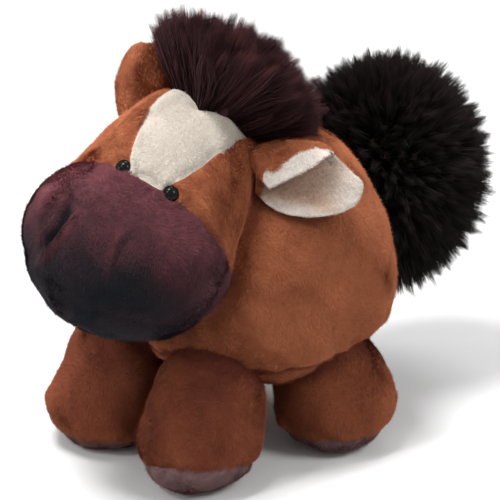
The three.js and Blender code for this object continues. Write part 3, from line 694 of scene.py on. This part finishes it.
def mesh_piece(name, points, tris, material, uv=None):
    """A Blender object from millimetre points and triangles; uv holds one pair for each vertex."""
    mesh = bpy.data.meshes.new(name)
    count = len(tris)
    mesh.vertices.add(len(points))
    mesh.vertices.foreach_set("co", (points * MM).astype(np.float32).ravel())
    mesh.loops.add(count * 3)
    mesh.loops.foreach_set("vertex_index", tris.astype(np.int32).ravel())
    mesh.polygons.add(count)
    mesh.polygons.foreach_set("loop_start", np.arange(count, dtype=np.int32) * 3)
    mesh.polygons.foreach_set("use_smooth", np.ones(count, bool))
    if uv is not None:
        layer = mesh.uv_layers.new(name="OFBake")
        layer.uv.foreach_set("vector", uv[tris.ravel()].astype(np.float32).ravel())
    mesh.update(calc_edges=True)
    mesh.materials.append(material)
    made = bpy.data.objects.new(name, mesh)
    bpy.context.scene.collection.objects.link(made)
    return made


def soft_piece(name, points, tris, material, body, node_name):
    """A piece in place of a node, tied to a body, with the node hidden."""
    made = mesh_piece(name, points, tris, material)
    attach(made, body)
    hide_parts(node_name)


def stuffing(node_name, points, tris, body):
    points = lumpy(points, tris, FILLING_LUMPS)
    soft_piece(node_name + "_fibre", points, tris, fibre, body, node_name)


def scattered(points, tris, normals, per_mm2, rng):
    """Places spread evenly over a surface, with their normals."""
    a, b, c = (points[tris[:, k]] for k in range(3))
    areas = areas_of(points, tris)
    count = int(areas.sum() * per_mm2)
    chosen = rng.choice(len(tris), count, p=areas / areas.sum())
    u, v = rng.random((2, count, 1))
    over = u + v > 1
    u, v = np.where(over, 1 - u, u), np.where(over, 1 - v, v)
    places = a[chosen] * (1 - u - v) + b[chosen] * u + c[chosen] * v
    na, nb, nc = (normals[tris[chosen, k]] for k in range(3))
    return places, unit(na * (1 - u - v) + nb * u + nc * v)


def turned(vectors, axes, angles):
    """Vectors turned about axes square to them."""
    return vectors * np.cos(angles)[:, None] + np.cross(axes, vectors) * np.sin(angles)[:, None]


def pile_tone(places, tone, mottle):
    """Each place's share of the way from the pile's dark to its light."""
    own = 0.5 + mottle * lumps(places, PILE_PATCHES)
    return own if tone is None else tone(places, own)


def short_pile(name, points, tris, normals, flow, material, slot, tone, seed, keep, mottle,
               length=PILE_LENGTH, stand=PILE_STAND, stray=STRAY_SHARE):
    """The short pile of a plush panel: strands that lie along a flow which wanders over the panel."""
    rng = np.random.default_rng(seed)
    places, up = scattered(points, tris, normals, PILE_PER_MM2, rng)
    if keep is not None:
        kept = keep(places)
        places, up = places[kept], up[kept]
    count = len(places)
    way = np.broadcast_to(np.array(flow, float), places.shape)
    way = unit(way - (way * up).sum(1, keepdims=True) * up)
    way = turned(way, up, lumps(places, PILE_WANDER) + rng.normal(0, WAY_SPREAD, count))
    lean = stand + mottle * lumps(places, PILE_STAND_WANDER) + rng.normal(0, STAND_SPREAD, count)
    lean += np.where(rng.random(count) < stray, STRAY_RISE, 0)
    tall = length * rng.uniform(0.8, 1.1, count)
    ways = way * np.cos(lean)[:, None] + up * np.sin(lean)[:, None]
    tips = off_floor(places + tall[:, None] * ways)
    across = turned(np.cross(way, up), up, rng.normal(0, TURN_SPREAD, count))
    half = PILE_HALF_WIDTH * rng.uniform(0.8, 1.2, count)[:, None]
    roots = off_floor(places - PILE_ROOTED * up)
    verts = np.stack([roots - across * half, roots + across * half, tips], 1).reshape(-1, 3)
    order = np.arange(count * 3).reshape(-1, 3)
    own = np.clip(pile_tone(places, tone, mottle) + rng.normal(0, TONE_SPREAD, count), *MAP_ENDS)
    root, tip = MAP_ENDS
    uv = np.stack([np.repeat(own, 3), np.tile([root, root, tip], count)], 1)
    return mesh_piece(name, verts, order, material, uv)


def fur(name, roots, ways, lengths, material, own, seed, body, node_name, bend, clumps, clump_share,
        guard=None):
    """Long tapered strands, which bend more and more and gather to clumps towards their tips."""
    rng = np.random.default_rng(seed)
    count = len(roots)
    steps = len(FUR_TAPER)
    along = np.linspace(0, 1, steps + 1)
    line = np.stack([roots + (ways * s + bend * s * s) * lengths[:, None] for s in along], 1)
    pull = clump_share * along**CLUMP_POWER * rng.uniform(0.75, 1.1, (count, 1))
    line = line + (line[clumps] - line) * pull[:, :, None]
    if guard is not None:
        line = guard(line.reshape(-1, 3)).reshape(line.shape)
    tangents = unit(line[:, -1] - line[:, 0])
    across = unit(np.cross(tangents, rng.normal(size=(count, 3))))
    half = across[:, None] * (FUR_HALF_WIDTH * np.array(FUR_TAPER))[:, None]
    pairs = np.stack([line[:, :-1] - half, line[:, :-1] + half], 2).reshape(count, steps * 2, 3)
    verts = np.concatenate([pairs, line[:, -1:]], 1)
    size = steps * 2 + 1
    faces = []
    for k in range(steps - 1):
        faces += [(2 * k, 2 * k + 1, 2 * k + 3), (2 * k, 2 * k + 3, 2 * k + 2)]
    faces.append((2 * steps - 2, 2 * steps - 1, 2 * steps))
    down = np.clip(np.repeat(along[:-1], 2).tolist() + [1.0], *MAP_ENDS)
    own = np.clip(own, *MAP_ENDS)
    for layer in range(FUR_LAYERS):
        part = slice(layer, None, FUR_LAYERS)
        held = len(verts[part])
        tris = (np.arange(held)[:, None, None] * size + np.array(faces)[None]).reshape(-1, 3)
        uv = np.stack([np.repeat(own[part], size), np.tile(down, held)], 1)
        made = mesh_piece(f"{name}_{layer}", verts[part].reshape(-1, 3), tris, material, uv)
        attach(made, body)
        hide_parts(node_name)


def tufts(places, count, rng):
    """For each place, which of some places chosen as tufts it gathers to."""
    leaders = rng.choice(len(places), count, replace=False)
    tree = KDTree(count)
    for index, leader in enumerate(leaders):
        tree.insert(places[leader], index)
    tree.balance()
    return leaders[[tree.find(place)[1] for place in places]]


def panel(name, rows, tris, values, plush_kind, flow, tone, seed, mottle, keep=None, body="body",
          blended=None, fill=0.8, **pile):
    """The sewn panel that stands for a node, cut from rows where values are negative, with its pile."""
    rows, tris = clip(rows, tris, values)
    points, normals = rows[:, :3], rows[:, 3:6]
    ground, strands, slot = plush_kind
    skin = mesh_piece(name + "_skin", points, tris, ground)
    tones = skin.data.attributes.new("tone", "FLOAT", "POINT")
    tones.data.foreach_set("value", pile_tone(points, tone, mottle).astype(np.float32))
    nap = short_pile(name + "_nap", points, tris, normals, flow, strands, slot, tone, seed, keep, mottle,
                     **pile)
    for piece in (skin, nap):
        if blended:
            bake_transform(piece)
        else:
            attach(piece, body)
    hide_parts(name)


# The body's panels


def pressed(points):
    """How deep the body gives where the head and the left ear press on it."""
    rest = np.linalg.norm(points - BODY_CENTRE - EAR_REST, axis=1)
    return dips(beyond(outside_head(points)), *HEAD_DENT) + dips(rest, *EAR_DENT)


def body_rows():
    directions, tris = ball(BODY_CELLS)
    points = body_points(directions) + BODY_CENTRE
    local = points - BODY_CENTRE
    belly = local[:, 2] + BELLY_SEAM_DROP
    back = np.where(belly > 0, local[:, 0], FAR)
    depth = dips(belly, *BELLY_DIP) + puckers(belly, points, BODY_PUCKERS)
    depth += dips(back, *BACK_DIP)
    depth += pressed(points)
    for name in LEGS:
        dent = dips(beyond(outside_leg(points, name)), *LEG_DENT)
        depth += np.where(local[:, 2] < 0, dent, 0)
    depth += lumps(points, BODY_LUMPS)
    return sunk_rows(points, tris, depth, local[:, 0], belly), tris


def body_tone(places, own):
    # Painted light lifts the whole body above the legs' brown; painted shade darkens it along the belly and
    # back seams and in the creases by the head and the legs
    local = places - BODY_CENTRE
    belly = local[:, 2] + BELLY_SEAM_DROP
    toned = own + BODY_PAINTED_LIGHT_SHARE - dips(belly, *BELLY_PAINTED_SHADE)
    toned -= np.where(belly > 0, dips(local[:, 0], *BACK_PAINTED_SHADE), 0)
    toned -= dips(beyond(outside_head(places)), *CREASE_PAINTED_SHADE)
    for name in LEGS:
        near = dips(beyond(outside_leg(places, name)), *CREASE_PAINTED_SHADE)
        toned -= np.where(local[:, 2] < 0, near, 0)
    return toned


def clear_of_neighbours(places):
    """Where the body's pile shows: not under the head or the legs."""
    shows = outside_head(places) > -UNDER_HEAD
    for name in LEGS:
        shows &= (outside_leg(places, name) > -UNDER_LEG) | (places[:, 2] > BODY_CENTRE[2] - HIP_DROP)
    return shows


def build_body():
    rows, tris = body_rows()
    side, belly = rows[:, 6], rows[:, 7]
    shared = dict(tone=body_tone, mottle=0.5, keep=clear_of_neighbours)
    for name, across in (("left", -side), ("right", side)):
        panel("body_side_" + name, rows, tris, np.maximum(across, -belly), brown_plush,
              (0.15, 0.45, -1.0), seed=101, **shared)
    panel("belly_gusset", rows, tris, belly, brown_plush, (0, 1, 0.2), seed=103, **shared)
    directions, coarse = ball(FILLING_CELLS)
    filling = body_points(directions, BODY_FILLING_INSET) + BODY_CENTRE
    filling -= normals_of(filling, coarse) * pressed(filling)[:, None]
    stuffing("body_filling", filling, coarse, "body")


# The head's panels


def head_fields(p):
    """Signed distances to the head's seams, in its own frame, negative on the named side."""
    cos, sin = math.cos(MUZZLE_SEAM_LEAN), math.sin(MUZZLE_SEAM_LEAN)
    forward = p[:, 1] * cos + p[:, 2] * sin
    muzzle = forward - MUZZLE_SEAM_SWEEP * (p[:, 0] / CROWN_RADII[0]) ** 2 + MUZZLE_SEAM_FORWARD
    chin = p[:, 2] + CHIN_SEAM_DROP
    below = np.where(p[:, 2] > 0, -FAR, FAR)
    half = np.interp(p[:, 1], BLAZE_PLACES, BLAZE_HALF_WIDTHS)
    slope = (MANE_CORNER - MANE_NOTCH) / MANE_HALF_WIDTH
    vee = (MANE_NOTCH + slope * np.abs(p[:, 0]) - p[:, 1]) / math.hypot(1, slope)
    mane = within(np.abs(p[:, 0]) - MANE_HALF_WIDTH, vee, below)
    blaze = within(np.abs(p[:, 0]) - half, -mane, -muzzle, below)
    return muzzle, chin, mane, blaze


def nostril_depth(local, side, place, deep, size):
    """How deep a nostril's slot sinks, less the lip that stands up along its inner side."""
    gap = local - on_head(place)
    near = local[:, 1] < -30
    rise = gap[:, 2] / size
    across = gap[:, 0] - 0.012 * side * rise**2 + 0.10 * side * rise
    width = NOSTRIL_HALF_WIDTH * size * np.clip(1 + rise / 22, 0.4, 1.5)
    slot = np.exp(-((rise / NOSTRIL_REACH) ** 4)) * dips(across, width, deep)
    beside = across + side * LIP_ASIDE * size
    lip = np.exp(-(((rise + 4) / LIP_REACH) ** 4)) * dips(beside, LIP_HALF_WIDTH * size, LIP_SHARE * deep)
    return near * (slot - lip)


def from_eye(local, side):
    """How far points on the head are from an eye's place."""
    return np.linalg.norm(local - on_head(EYE_PLACE, side), axis=1)


def head_rows():
    directions, tris = ball(HEAD_CELLS)
    local = head_points(directions)
    points = from_head(local)
    muzzle, chin, mane, blaze = head_fields(local)
    neck = outside_body(points)
    depth = dips(muzzle, *MUZZLE_DIP) + puckers(muzzle, points, HEAD_PUCKERS)
    depth += np.where(muzzle < 0, dips(chin, *CHIN_DIP), 0)
    depth += np.where(muzzle > 0, dips(blaze, *BLAZE_DIP), 0)
    depth += dips(neck + NECK_SUNK, *NECK_DIP)
    depth += lumps(points, HEAD_LUMPS)
    for side in (-1, 1):
        gap = from_eye(local, side)
        depth += dips(gap, *EYE_DENT) - dips(gap - EYE_RIM_RADIUS, *EYE_RIM)
    for nostril in NOSTRILS:
        depth += nostril_depth(local, *nostril)
    return sunk_rows(points, tris, depth, muzzle, chin, mane, blaze, neck, local[:, 0]), tris


def clear_of_eyes(places):
    """Where the head's pile shows: not under the eyes or deep in the body."""
    local = to_head(places)
    shows = outside_body(places) > -UNDER_BODY
    for side in (-1, 1):
        shows &= from_eye(local, side) > EYE_RADIUS - UNDER_EYE
    return shows


def muzzle_tone(places, own):
    """Plum above, near black below, with a soft and uneven change between them: partly the muzzle's own
    colours and partly painted shade on its lower side.
    """
    local = to_head(places)
    height = (places - BODY_CENTRE) @ MUZZLE_DARK_RISE + MUZZLE_DARK_LEVEL
    height = height + lumps(places, MUZZLE_DARK_WANDER)
    share = 1 / (1 + np.exp(-height / MUZZLE_DARK_FADE))
    # Painted shade over the muzzle, then painted light that grows towards its top
    toned = (own - MUZZLE_PAINTED_SHADE_SHARE) * share
    toned = toned + MUZZLE_TOP_PAINTED_LIGHT_SHARE * np.clip(height / MUZZLE_TOP_LIGHT_HEIGHT, 0, 1)
    # Painted light on one upper corner of the muzzle
    toned += dips(np.linalg.norm(local - PAINTED_LIGHT_CORNER_PLACE, axis=1), *MUZZLE_CORNER_PAINTED_LIGHT)
    for side, place, deep, size in NOSTRILS:
        sunk = nostril_depth(local, side, place, deep / NOSTRIL_DEEPEST, size)
        # Painted shade in each nostril's slot, and a painted highlight on the lip beside it
        toned -= NOSTRIL_PAINTED_SHADE_SHARE * beyond(sunk)
        toned += beyond(-sunk)
    return toned


def head_tone(places, own):
    # Painted shade along the muzzle's and the blaze's seams and where the head sinks into the body, and a
    # little painted light over the head
    muzzle, _, _, blaze = head_fields(to_head(places))
    toned = own - dips(muzzle, *FACE_SEAM_PAINTED_SHADE) - dips(blaze, *FACE_SEAM_PAINTED_SHADE)
    toned += lumps(places, HEAD_PATCHES) + HEAD_PAINTED_LIGHT_SHARE
    return toned - dips(beyond(outside_body(places) + NECK_SUNK), *NECK_PAINTED_SHADE)


def build_head():
    rows, tris = head_rows()
    muzzle, chin, mane, blaze, neck, across = (rows[:, k] for k in range(6, 12))
    out = -(neck + HEAD_UNDER_BODY)
    back, nose, down = np.array([(0.0, 1.0, -0.15), (0.0, -0.6, -1.0), (0.0, 0.35, -1.0)]) @ HEAD_TURNING.T
    shared = dict(keep=clear_of_eyes)
    for seed, name, below in ((111, "upper", -chin), (112, "chin", chin)):
        panel("muzzle_" + name, rows, tris, within(muzzle, below, out), plum_plush, nose, muzzle_tone,
              seed, 0.6, stand=MUZZLE_STAND, **shared)
    for seed, name, beside in ((113, "left", -across), (114, "right", across)):
        panel("head_side_" + name, rows, tris, within(-muzzle, out, -blaze, -mane, beside), brown_plush,
              down, head_tone, seed, 1.0, **shared)
    panel("face_blaze", rows, tris, np.maximum(blaze, out), cream_plush, back, None, 115, PALE_MOTTLE,
          length=BLAZE_LENGTH, **PALE_PILE, **shared)
    strip_rows, strip_tris = clip(rows, tris, np.maximum(mane, out))
    soft_piece("mane_strip_ground", strip_rows[:, :3], strip_tris, fur_ground, "body",
               "mane_strip")
    directions, coarse = ball(FILLING_CELLS)
    inner = from_head(head_points(directions, FILLING_INSET))
    inner, coarse = clip(inner, coarse, -(outside_body(inner) - FILLING_GAP))
    stuffing("head_filling", inner, coarse, "body")
    return strip_rows, strip_tris


def build_mane(rows, tris):
    """The mane's strands, which fan out from its strip, over a soft dome that hides their roots."""
    points, normals = rows[:, :3], rows[:, 3:6]
    rng = np.random.default_rng(201)
    per_mm2 = FUR_LAYERS * FUR_STRANDS / areas_of(points, tris).sum()
    places, up = scattered(points, tris, normals, per_mm2, rng)
    count = len(places)
    local = to_head(places)
    outward = unit(local * MANE_FAN - MANE_FAN_FROM) @ HEAD_TURNING.T
    ways = unit(outward + up * MANE_UPRIGHT_SHARE + rng.normal(0, MANE_SPREAD, places.shape))
    side = np.clip(np.abs(local[:, 0]) / MANE_HALF_WIDTH, 0, 1)
    clumps = tufts(places, MANE_TUFTS, rng)
    tall = rng.uniform(0.84, 1.04, count)
    tall *= np.where(rng.random(count) < MANE_SHORT_SHARE, rng.uniform(0.5, 1.0, count), 1.0)
    lengths = MANE_LENGTH * (1 - 0.10 * side**2) * tall[clumps] * rng.uniform(0.9, 1.0, count)
    own = MANE_TONE_SHARE + lumps(places, MANE_PATCHES) + rng.normal(0, 0.08, count)
    own += rng.normal(0, 0.13, count)[clumps]
    bend = rng.normal(0, FUR_BEND_SPREAD, places.shape)
    fur("mane_fur", places - up * 0.5, ways, lengths, mane_hair, own, 202, "body", "mane_pile",
        bend, clumps, MANE_CLUMP_SHARE)
    directions, coarse = ball(FILLING_CELLS)
    under = from_head(directions * MANE_UNDER_RADII + MANE_UNDER_CENTRE)
    under = lumpy(under, coarse, MANE_UNDER_LUMPS)
    under, coarse = clip(under, coarse, -np.minimum(outside_head(under) + 1.5, outside_body(under)))
    soft_piece("mane_underfur", under, coarse, fur_ground, "body", "mane_pile")


# The eyes


def build_eyes():
    directions, tris = ball(EYE_CELLS)
    for name, side in (("left", 1), ("right", -1)):
        seat = on_head(EYE_PLACE, side)
        near = head_points(seat + EYE_SEAT_PROBES)
        way = unit(np.cross(near[0] - near[1], near[2] - near[3]))
        way = way if way @ seat > 0 else -way
        across = unit(np.cross(way, [0.0, 0.0, 1.0]))
        turn = np.stack([across, np.cross(way, across), way], 1)
        points = from_head((directions * EYE_RADII) @ turn.T + seat - way * EYE_SINK)
        made = mesh_piece("eye_" + name + "_bead", points, tris, bead)
        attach(made, "body")
        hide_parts("eye_" + name)
        washer = frame["nodes"]["eye_washer_" + name]
        washer.data.materials.clear()
        washer.data.materials.append(washer_plastic)


# The ears


def ear_axes(name):
    """An ear's side, the place of its base and its turning, as it grows along its own x."""
    side, sweep, lift, roll = EAR_POSES[name]
    angles = (math.radians(roll), -side * math.radians(lift), side * math.radians(sweep))
    turning = HEAD_TURNING @ np.array(Euler(angles, "XYZ").to_matrix())
    return side, from_head(on_head(EAR_BASE, side)), turning


def ear_fold(places):
    """The angle and radius of an ear's folded edge, and the arc at which the fold starts."""
    rise = np.interp(places, EAR_PLACES, EAR_FOLD_RISE)
    angle = np.radians(np.interp(places, EAR_PLACES, EAR_FOLD_ANGLE))
    radius = np.interp(places, EAR_PLACES, EAR_FOLD_RADIUS)
    return angle, radius, rise - radius * np.sin(np.minimum(angle, math.pi / 2))


def ear_section(places, arcs):
    """Where an ear's sheet lies, from the arc across it: its rise, and its stand towards the front."""
    angle, radius, start = ear_fold(places)
    up, front = np.zeros_like(arcs), np.zeros_like(arcs)
    for k in range(EAR_ARC_STEPS):
        arc = arcs * (k + 0.5) / EAR_ARC_STEPS
        turn = angle * np.clip((arc - start) / (radius * angle), 0, 1) + EAR_CUP * np.minimum(arc, 0)
        up += np.cos(turn) * arcs / EAR_ARC_STEPS
        front += np.sin(turn) * arcs / EAR_ARC_STEPS
    return up, front


def ear_widths(places):
    """The arcs from the ear's axis to its folded edge and to its lower edge."""
    angle, radius, start = ear_fold(places)
    flap = np.interp(places, EAR_PLACES, EAR_FLAP)
    low = np.interp(places, EAR_PLACES, EAR_LOWER)
    spare = np.where(angle > math.pi / 2, flap - radius * (1 - beyond(np.sin(angle))), 0)
    top = start + radius * angle + beyond(spare) / np.maximum(np.abs(np.cos(angle)), 0.5)
    tip = np.clip((places - EAR_ROUNDING_PLACE) / (EAR_LENGTH - EAR_ROUNDING_PLACE), 0, 1)
    rounding = np.sqrt(1 - tip**2)
    return top * rounding, low * rounding


def sheet_points(places, share):
    """Points of an ear's sheet, from places along it and shares of the way to its edges."""
    top, low = ear_widths(places)
    up, front = ear_section(places, share * np.where(share > 0, top, low))
    return np.stack([places, -front, up], 1)


def sheet_normals(places, share):
    """Which way the back of the sheet faces there."""
    step, share_step = 0.4, 0.02
    held = np.clip(places, step - EAR_BURIED, EAR_LENGTH - 2 * step)
    along = sheet_points(held + step, share) - sheet_points(held - step, share)
    across = sheet_points(held, share + share_step) - sheet_points(held, share - share_step)
    return unit(np.cross(across, along))


def ear_rows(side, base, turning):
    """An ear's rows and triangles, its seam's field, negative on the lining's side, and its cut."""
    directions, tris = ball(EAR_CELLS)
    along, through, across = directions.T
    places = (EAR_LENGTH + EAR_BURIED) * (along + 1) / 2 - EAR_BURIED
    top, low = ear_widths(places)
    share = np.arctan2(across, np.abs(through)) / (math.pi / 2)
    puff = 1 + EAR_EDGE_PUFF * np.exp(-(((np.abs(share) - 0.82) / 0.16) ** 2))
    depth = np.sign(through) * np.abs(through) ** 0.6 * EAR_LAYER * puff
    local = sheet_points(places, share) + sheet_normals(places, share) * depth[:, None]
    local = local * [side, 1.0, 1.0]
    world = local @ turning.T + base
    tris = tris if side > 0 else tris[:, ::-1]
    out = -np.minimum(outside_head(world) + EAR_UNDER_HEAD, outside_body(world) + EAR_UNDER_BODY)
    band = np.interp(places, EAR_PLACES, EAR_BAND)
    arcs = share * np.where(share > 0, top, low)
    seam = np.minimum((through - 0.3) * 4, np.where(share > 0, top - arcs, FAR) - band)
    root = EAR_ROOT_BROWN + EAR_ROOT_SLOPE * beyond(local[:, 2]) - places
    rows = np.concatenate([world, normals_of(world, tris)], 1)
    return rows, tris, np.maximum(seam, root), out


def ear_back_tone(places, own):
    # Painted light: the ear's back is lighter than the same brown elsewhere
    return own + EAR_PAINTED_LIGHT_SHARE


def lining_tone(side, base, turning):
    """The tone of one ear's lining: painted light makes it white along its raised edges, and painted shade
    darkens its hollow.
    """

    def tone(places, own):
        p = (places - base) @ turning
        x, y, z = side * p[:, 0], p[:, 1], p[:, 2]
        edge = within(np.abs(z + 1) / 11.0, x / 34.0, -y / 5.0)
        white = 1 / (1 + np.exp(-(edge - 0.86) * 9))
        return own - LINING_PAINTED_SHADE_SHARE * (1 - white) + LINING_PAINTED_LIGHT_SHARE * white

    return tone


def build_ears():
    for name in EAR_POSES:
        side, base, turning = ear_axes(name)
        rows, tris, seam, out = ear_rows(side, base, turning)
        reach = turning @ np.array([side, 0.0, 0.0])
        start, end = base - reach * EAR_BLEND[0], base + reach * EAR_BLEND[1]
        blended = ("body", f"ear_{name}", start * MM, end * MM)
        shared = dict(blended=blended, fill=0.3)
        panel(f"ear_{name}_back", rows, tris, np.maximum(-seam, out), brown_plush, reach, ear_back_tone,
              121, 1.0, **shared)
        panel(f"ear_{name}_lining", rows, tris, np.maximum(seam, out), lining_plush, reach,
              lining_tone(side, base, turning), 122, PALE_MOTTLE, length=LINING_LENGTH, **PALE_PILE, **shared)


# The legs


def leg_pivot(name):
    joint = next(j for j in frame["joints"] if j["name"] == f"leg_{name}_swing")
    return np.array(joint["pos_m"]) / MM


def leg_tone(places, own):
    """Painted shade makes the legs darker than the body, more so in front under the head, and at their
    creases with the body; painted light makes them lighter again near the floor.
    """
    front = places[:, 1] < FEET_MIDDLE[1]
    low = dips(places[:, 2], *LEG_FLOOR_PAINTED_LIGHT)
    toned = own - LEG_PAINTED_SHADE_SHARE - np.where(front, FRONT_LEG_PAINTED_SHADE_SHARE, 0)
    toned += lumps(places, LEG_PATCHES) + low
    return toned - dips(beyond(outside_body(places)), *CREASE_PAINTED_SHADE)


def over_rim(places):
    """Where the sole's pile shows: not on the floor."""
    return places[:, 2] > RIM_LEVEL


def leg_rows(name, number, middle):
    directions, tris = ball(LEG_CELLS)
    points = off_floor(leg_points(directions, name))
    towards = (points - middle) @ [math.sin(CAMERA_AZIMUTH), -math.cos(CAMERA_AZIMUTH), 0.0]
    sole = points[:, 2] - SOLE_SEAM_HEIGHT - SOLE_TILTS[name] * towards
    neck = outside_body(points)
    depth = dips(sole, *SOLE_DIP) + puckers(sole, points, LEG_PUCKERS, number)
    depth += dips(beyond(neck), *LEG_DENT)
    depth += lumps(points, LEG_LUMPS, number)
    depth *= np.clip(points[:, 2] / 3.0, 0, 1)
    return sunk_rows(points, tris, depth, sole, neck), tris


def build_legs():
    for number, name in enumerate(LEGS):
        side, foot, _ = LEGS[name]
        leg = "leg_" + name
        middle = FEET_MIDDLE + [side * foot[0], foot[1], LEG_WIDEST_HEIGHT]
        rows, tris = leg_rows(name, number, middle)
        sole, neck = rows[:, 6], rows[:, 7]
        top = leg_pivot(name)
        axis = unit(middle - top)
        start, end = top - axis * LEG_BLEND[0], top + axis * LEG_BLEND[1]
        blended = ("body", leg, start * MM, end * MM)
        panel(leg + "_fabric", rows, tris, np.maximum(-sole, -(neck + LEG_UNDER_BODY)), brown_plush,
              (0.1, 0.1, -1.0), leg_tone, 131 + number, 0.35, blended=blended)
        panel(leg + "_sole", rows, tris, sole, sole_bounce_lit_plush, (0, 0.6, 0.8), None, 135 + number, 1.0,
              keep=over_rim, body=leg)
        directions, coarse = ball(LEG_FILLING_CELLS)
        inner = off_floor(leg_points(directions, name, FILLING_INSET), LEG_FILLING_LEVEL)
        inner, coarse = clip(inner, coarse, -(outside_body(inner) - LEG_FILLING_GAP))
        stuffing(leg + "_filling", inner, coarse, leg)


# The tail


def off_body(points, gap=0.8):
    """Pushes points that would lie in the body out of it."""
    return points + unit(points - BODY_CENTRE) * beyond(gap - outside_body(points))[:, None]


def build_tail():
    """The tail's tab, its soft core, and strands that end on a plume-shaped form."""
    out = np.array([0.0, math.cos(TAIL_ROOT_RISE), math.sin(TAIL_ROOT_RISE)])
    root = body_points(out[None])[0] + BODY_CENTRE
    plume = root + PLUME_OFFSET
    rise = np.array(Matrix.Rotation(TAIL_ROOT_RISE, 3, "X"))
    directions, tris = ball(TAB_CELLS)
    tab = (directions * TAB_RADII) @ rise.T + root
    tab, tris = clip(tab, tris, -(outside_body(tab) - 0.2))
    soft_piece("tail_tab_cloth", tab, tris, fur_ground, "tail_root", "tail_tab")

    directions, tris = ball(PLUME_CELLS)
    under = off_body(plume + directions * PLUME_RADII * TAIL_CORE_SHARE, TAIL_CORE_GAP)
    under = off_body(lumpy(under, tris, TAIL_UNDER_LUMPS), TAIL_CORE_GAP)
    soft_piece("tail_underfur", under, tris, fur_ground, "tail", "tail_core")

    rng = np.random.default_rng(301)
    count = FUR_LAYERS * FUR_STRANDS
    ends_way = unit(rng.normal(size=(count, 3)))
    ends = plume + PLUME_SHIFT + ends_way * PLUME_RADII * PLUME_SPREAD
    roots = plume + ends_way * PLUME_RADII * 0.58 + rng.normal(0, 1.2, (count, 3))
    free = outside_body(ends) > -8
    ends, roots, ends_way = ends[free], roots[free], ends_way[free]
    count = len(ends)
    gap = ends - roots
    clumps = tufts(ends, TAIL_TUFTS, rng)
    tall = rng.uniform(0.88, 1.06, count)
    lengths = np.linalg.norm(gap, axis=1) * tall[clumps] * rng.uniform(0.9, 1.0, count)
    ways = unit(gap + rng.normal(0, TAIL_SPREAD, gap.shape))
    # Strands that end higher on the plume are lighter and lower ones darker: painted light from above
    own = TAIL_TONE_SHARE + lumps(ends, TAIL_PATCHES) + TAIL_TOP_PAINTED_LIGHT_SHARE * np.clip(ends_way[:, 2], -1, 1)
    own += rng.normal(0, 0.10, count)
    bend = TAIL_BEND + rng.normal(0, FUR_BEND_SPREAD, ends.shape)
    fur("tail_fur", roots, ways, lengths, tail_hair, own, 303, "tail", "tail_pile", bend, clumps,
        TAIL_CLUMP_SHARE, guard=off_body)


# The studio


def shows_background(tree):
    """1 for the rays that see the pale background: the camera's, and those of gloss and glass."""
    path = node(tree, "ShaderNodeLightPath")
    shown = path.outputs["Is Camera Ray"]
    for kind in ("Is Glossy Ray", "Is Transmission Ray"):
        either = node(tree, "ShaderNodeMath", operation="MAXIMUM")
        tree.links.new(shown, either.inputs[0])
        tree.links.new(path.outputs[kind], either.inputs[1])
        shown = either.outputs[0]
    return shown


def build_world(scene):
    world = bpy.data.worlds.new("studio")
    scene.world = world
    world.use_nodes = True
    tree = world.node_tree
    sky = tree.nodes["Background"]
    shown = node(tree, "ShaderNodeMix", {2: WORLD_LIGHT, 3: 1.0}, data_type="FLOAT")
    sky.inputs["Color"].default_value = (1, 1, 1, 1)
    tree.links.new(shows_background(tree), shown.inputs[0])
    tree.links.new(shown.outputs[0], sky.inputs["Strength"])


def lamp(scene, name, place, target, size, power):
    data = bpy.data.lights.new(name, "AREA")
    data.shape = "DISK"
    data.size = size
    data.energy = power
    made = bpy.data.objects.new(name, data)
    made.location = Vector(place)
    made.rotation_euler = (Vector(target) - Vector(place)).to_track_quat("-Z", "Y").to_euler()
    scene.collection.objects.link(made)


def build_floor(scene):
    mesh = bpy.data.meshes.new("floor")
    half = FLOOR_HALF
    mesh.from_pydata([(-half, -half, 0), (half, -half, 0), (half, half, 0), (-half, half, 0)], [],
                     [(0, 1, 2, 3)])
    floor = bpy.data.objects.new("floor", mesh)
    scene.collection.objects.link(floor)
    material, tree, shader = new_material("floor_white", 0.9, specular=0.1)
    grain = noise_of(tree, {"Scale": 60})
    pale = coloured(tree, grain, [(0.3, (0.92,) * 3), (0.7, (0.94,) * 3)])
    seen = node(tree, "ShaderNodeMix", data_type="RGBA", blend_type="MIX")
    seen.inputs["A"].default_value = (*(FLOOR_BOUNCE_SHARE,) * 3, 1)
    tree.links.new(shows_background(tree), seen.inputs["Factor"])
    tree.links.new(pale, seen.inputs["B"])
    tree.links.new(seen.outputs["Result"], shader.inputs["Base Color"])
    floor.data.materials.append(material)


def build_studio():
    scene = bpy.context.scene
    scene.view_settings.view_transform = "Standard"
    build_world(scene)

    target = (BODY_CENTRE + CAMERA_TARGET) * MM
    up = np.array([0.0, 0.0, 1.0])
    level = np.array([math.sin(CAMERA_AZIMUTH), -math.cos(CAMERA_AZIMUTH), 0.0])
    right = np.array([math.cos(CAMERA_AZIMUTH), math.sin(CAMERA_AZIMUTH), 0.0])
    back = level * math.cos(CAMERA_ELEVATION) + up * math.sin(CAMERA_ELEVATION)
    lens = bpy.data.cameras.new("camera")
    lens.lens = CAMERA_LENS
    lens.sensor_width = CAMERA_SENSOR
    lens.clip_start, lens.clip_end = CAMERA_CLIP
    camera = bpy.data.objects.new("camera", lens)
    camera.location = Vector(target + back * CAMERA_DISTANCE * MM)
    camera.rotation_euler = Vector(-back).to_track_quat("-Z", "Y").to_euler()
    scene.collection.objects.link(camera)
    scene.camera = camera

    for name, forward, aside, rise, size, power in LAMPS:
        lamp(scene, name, target + level * forward + right * aside + up * rise, target, size, power)
    build_floor(scene)


build_studio()
build_body()
strip_rows, strip_tris = build_head()
build_mane(strip_rows, strip_tris)
build_eyes()
build_ears()
build_legs()
build_tail()
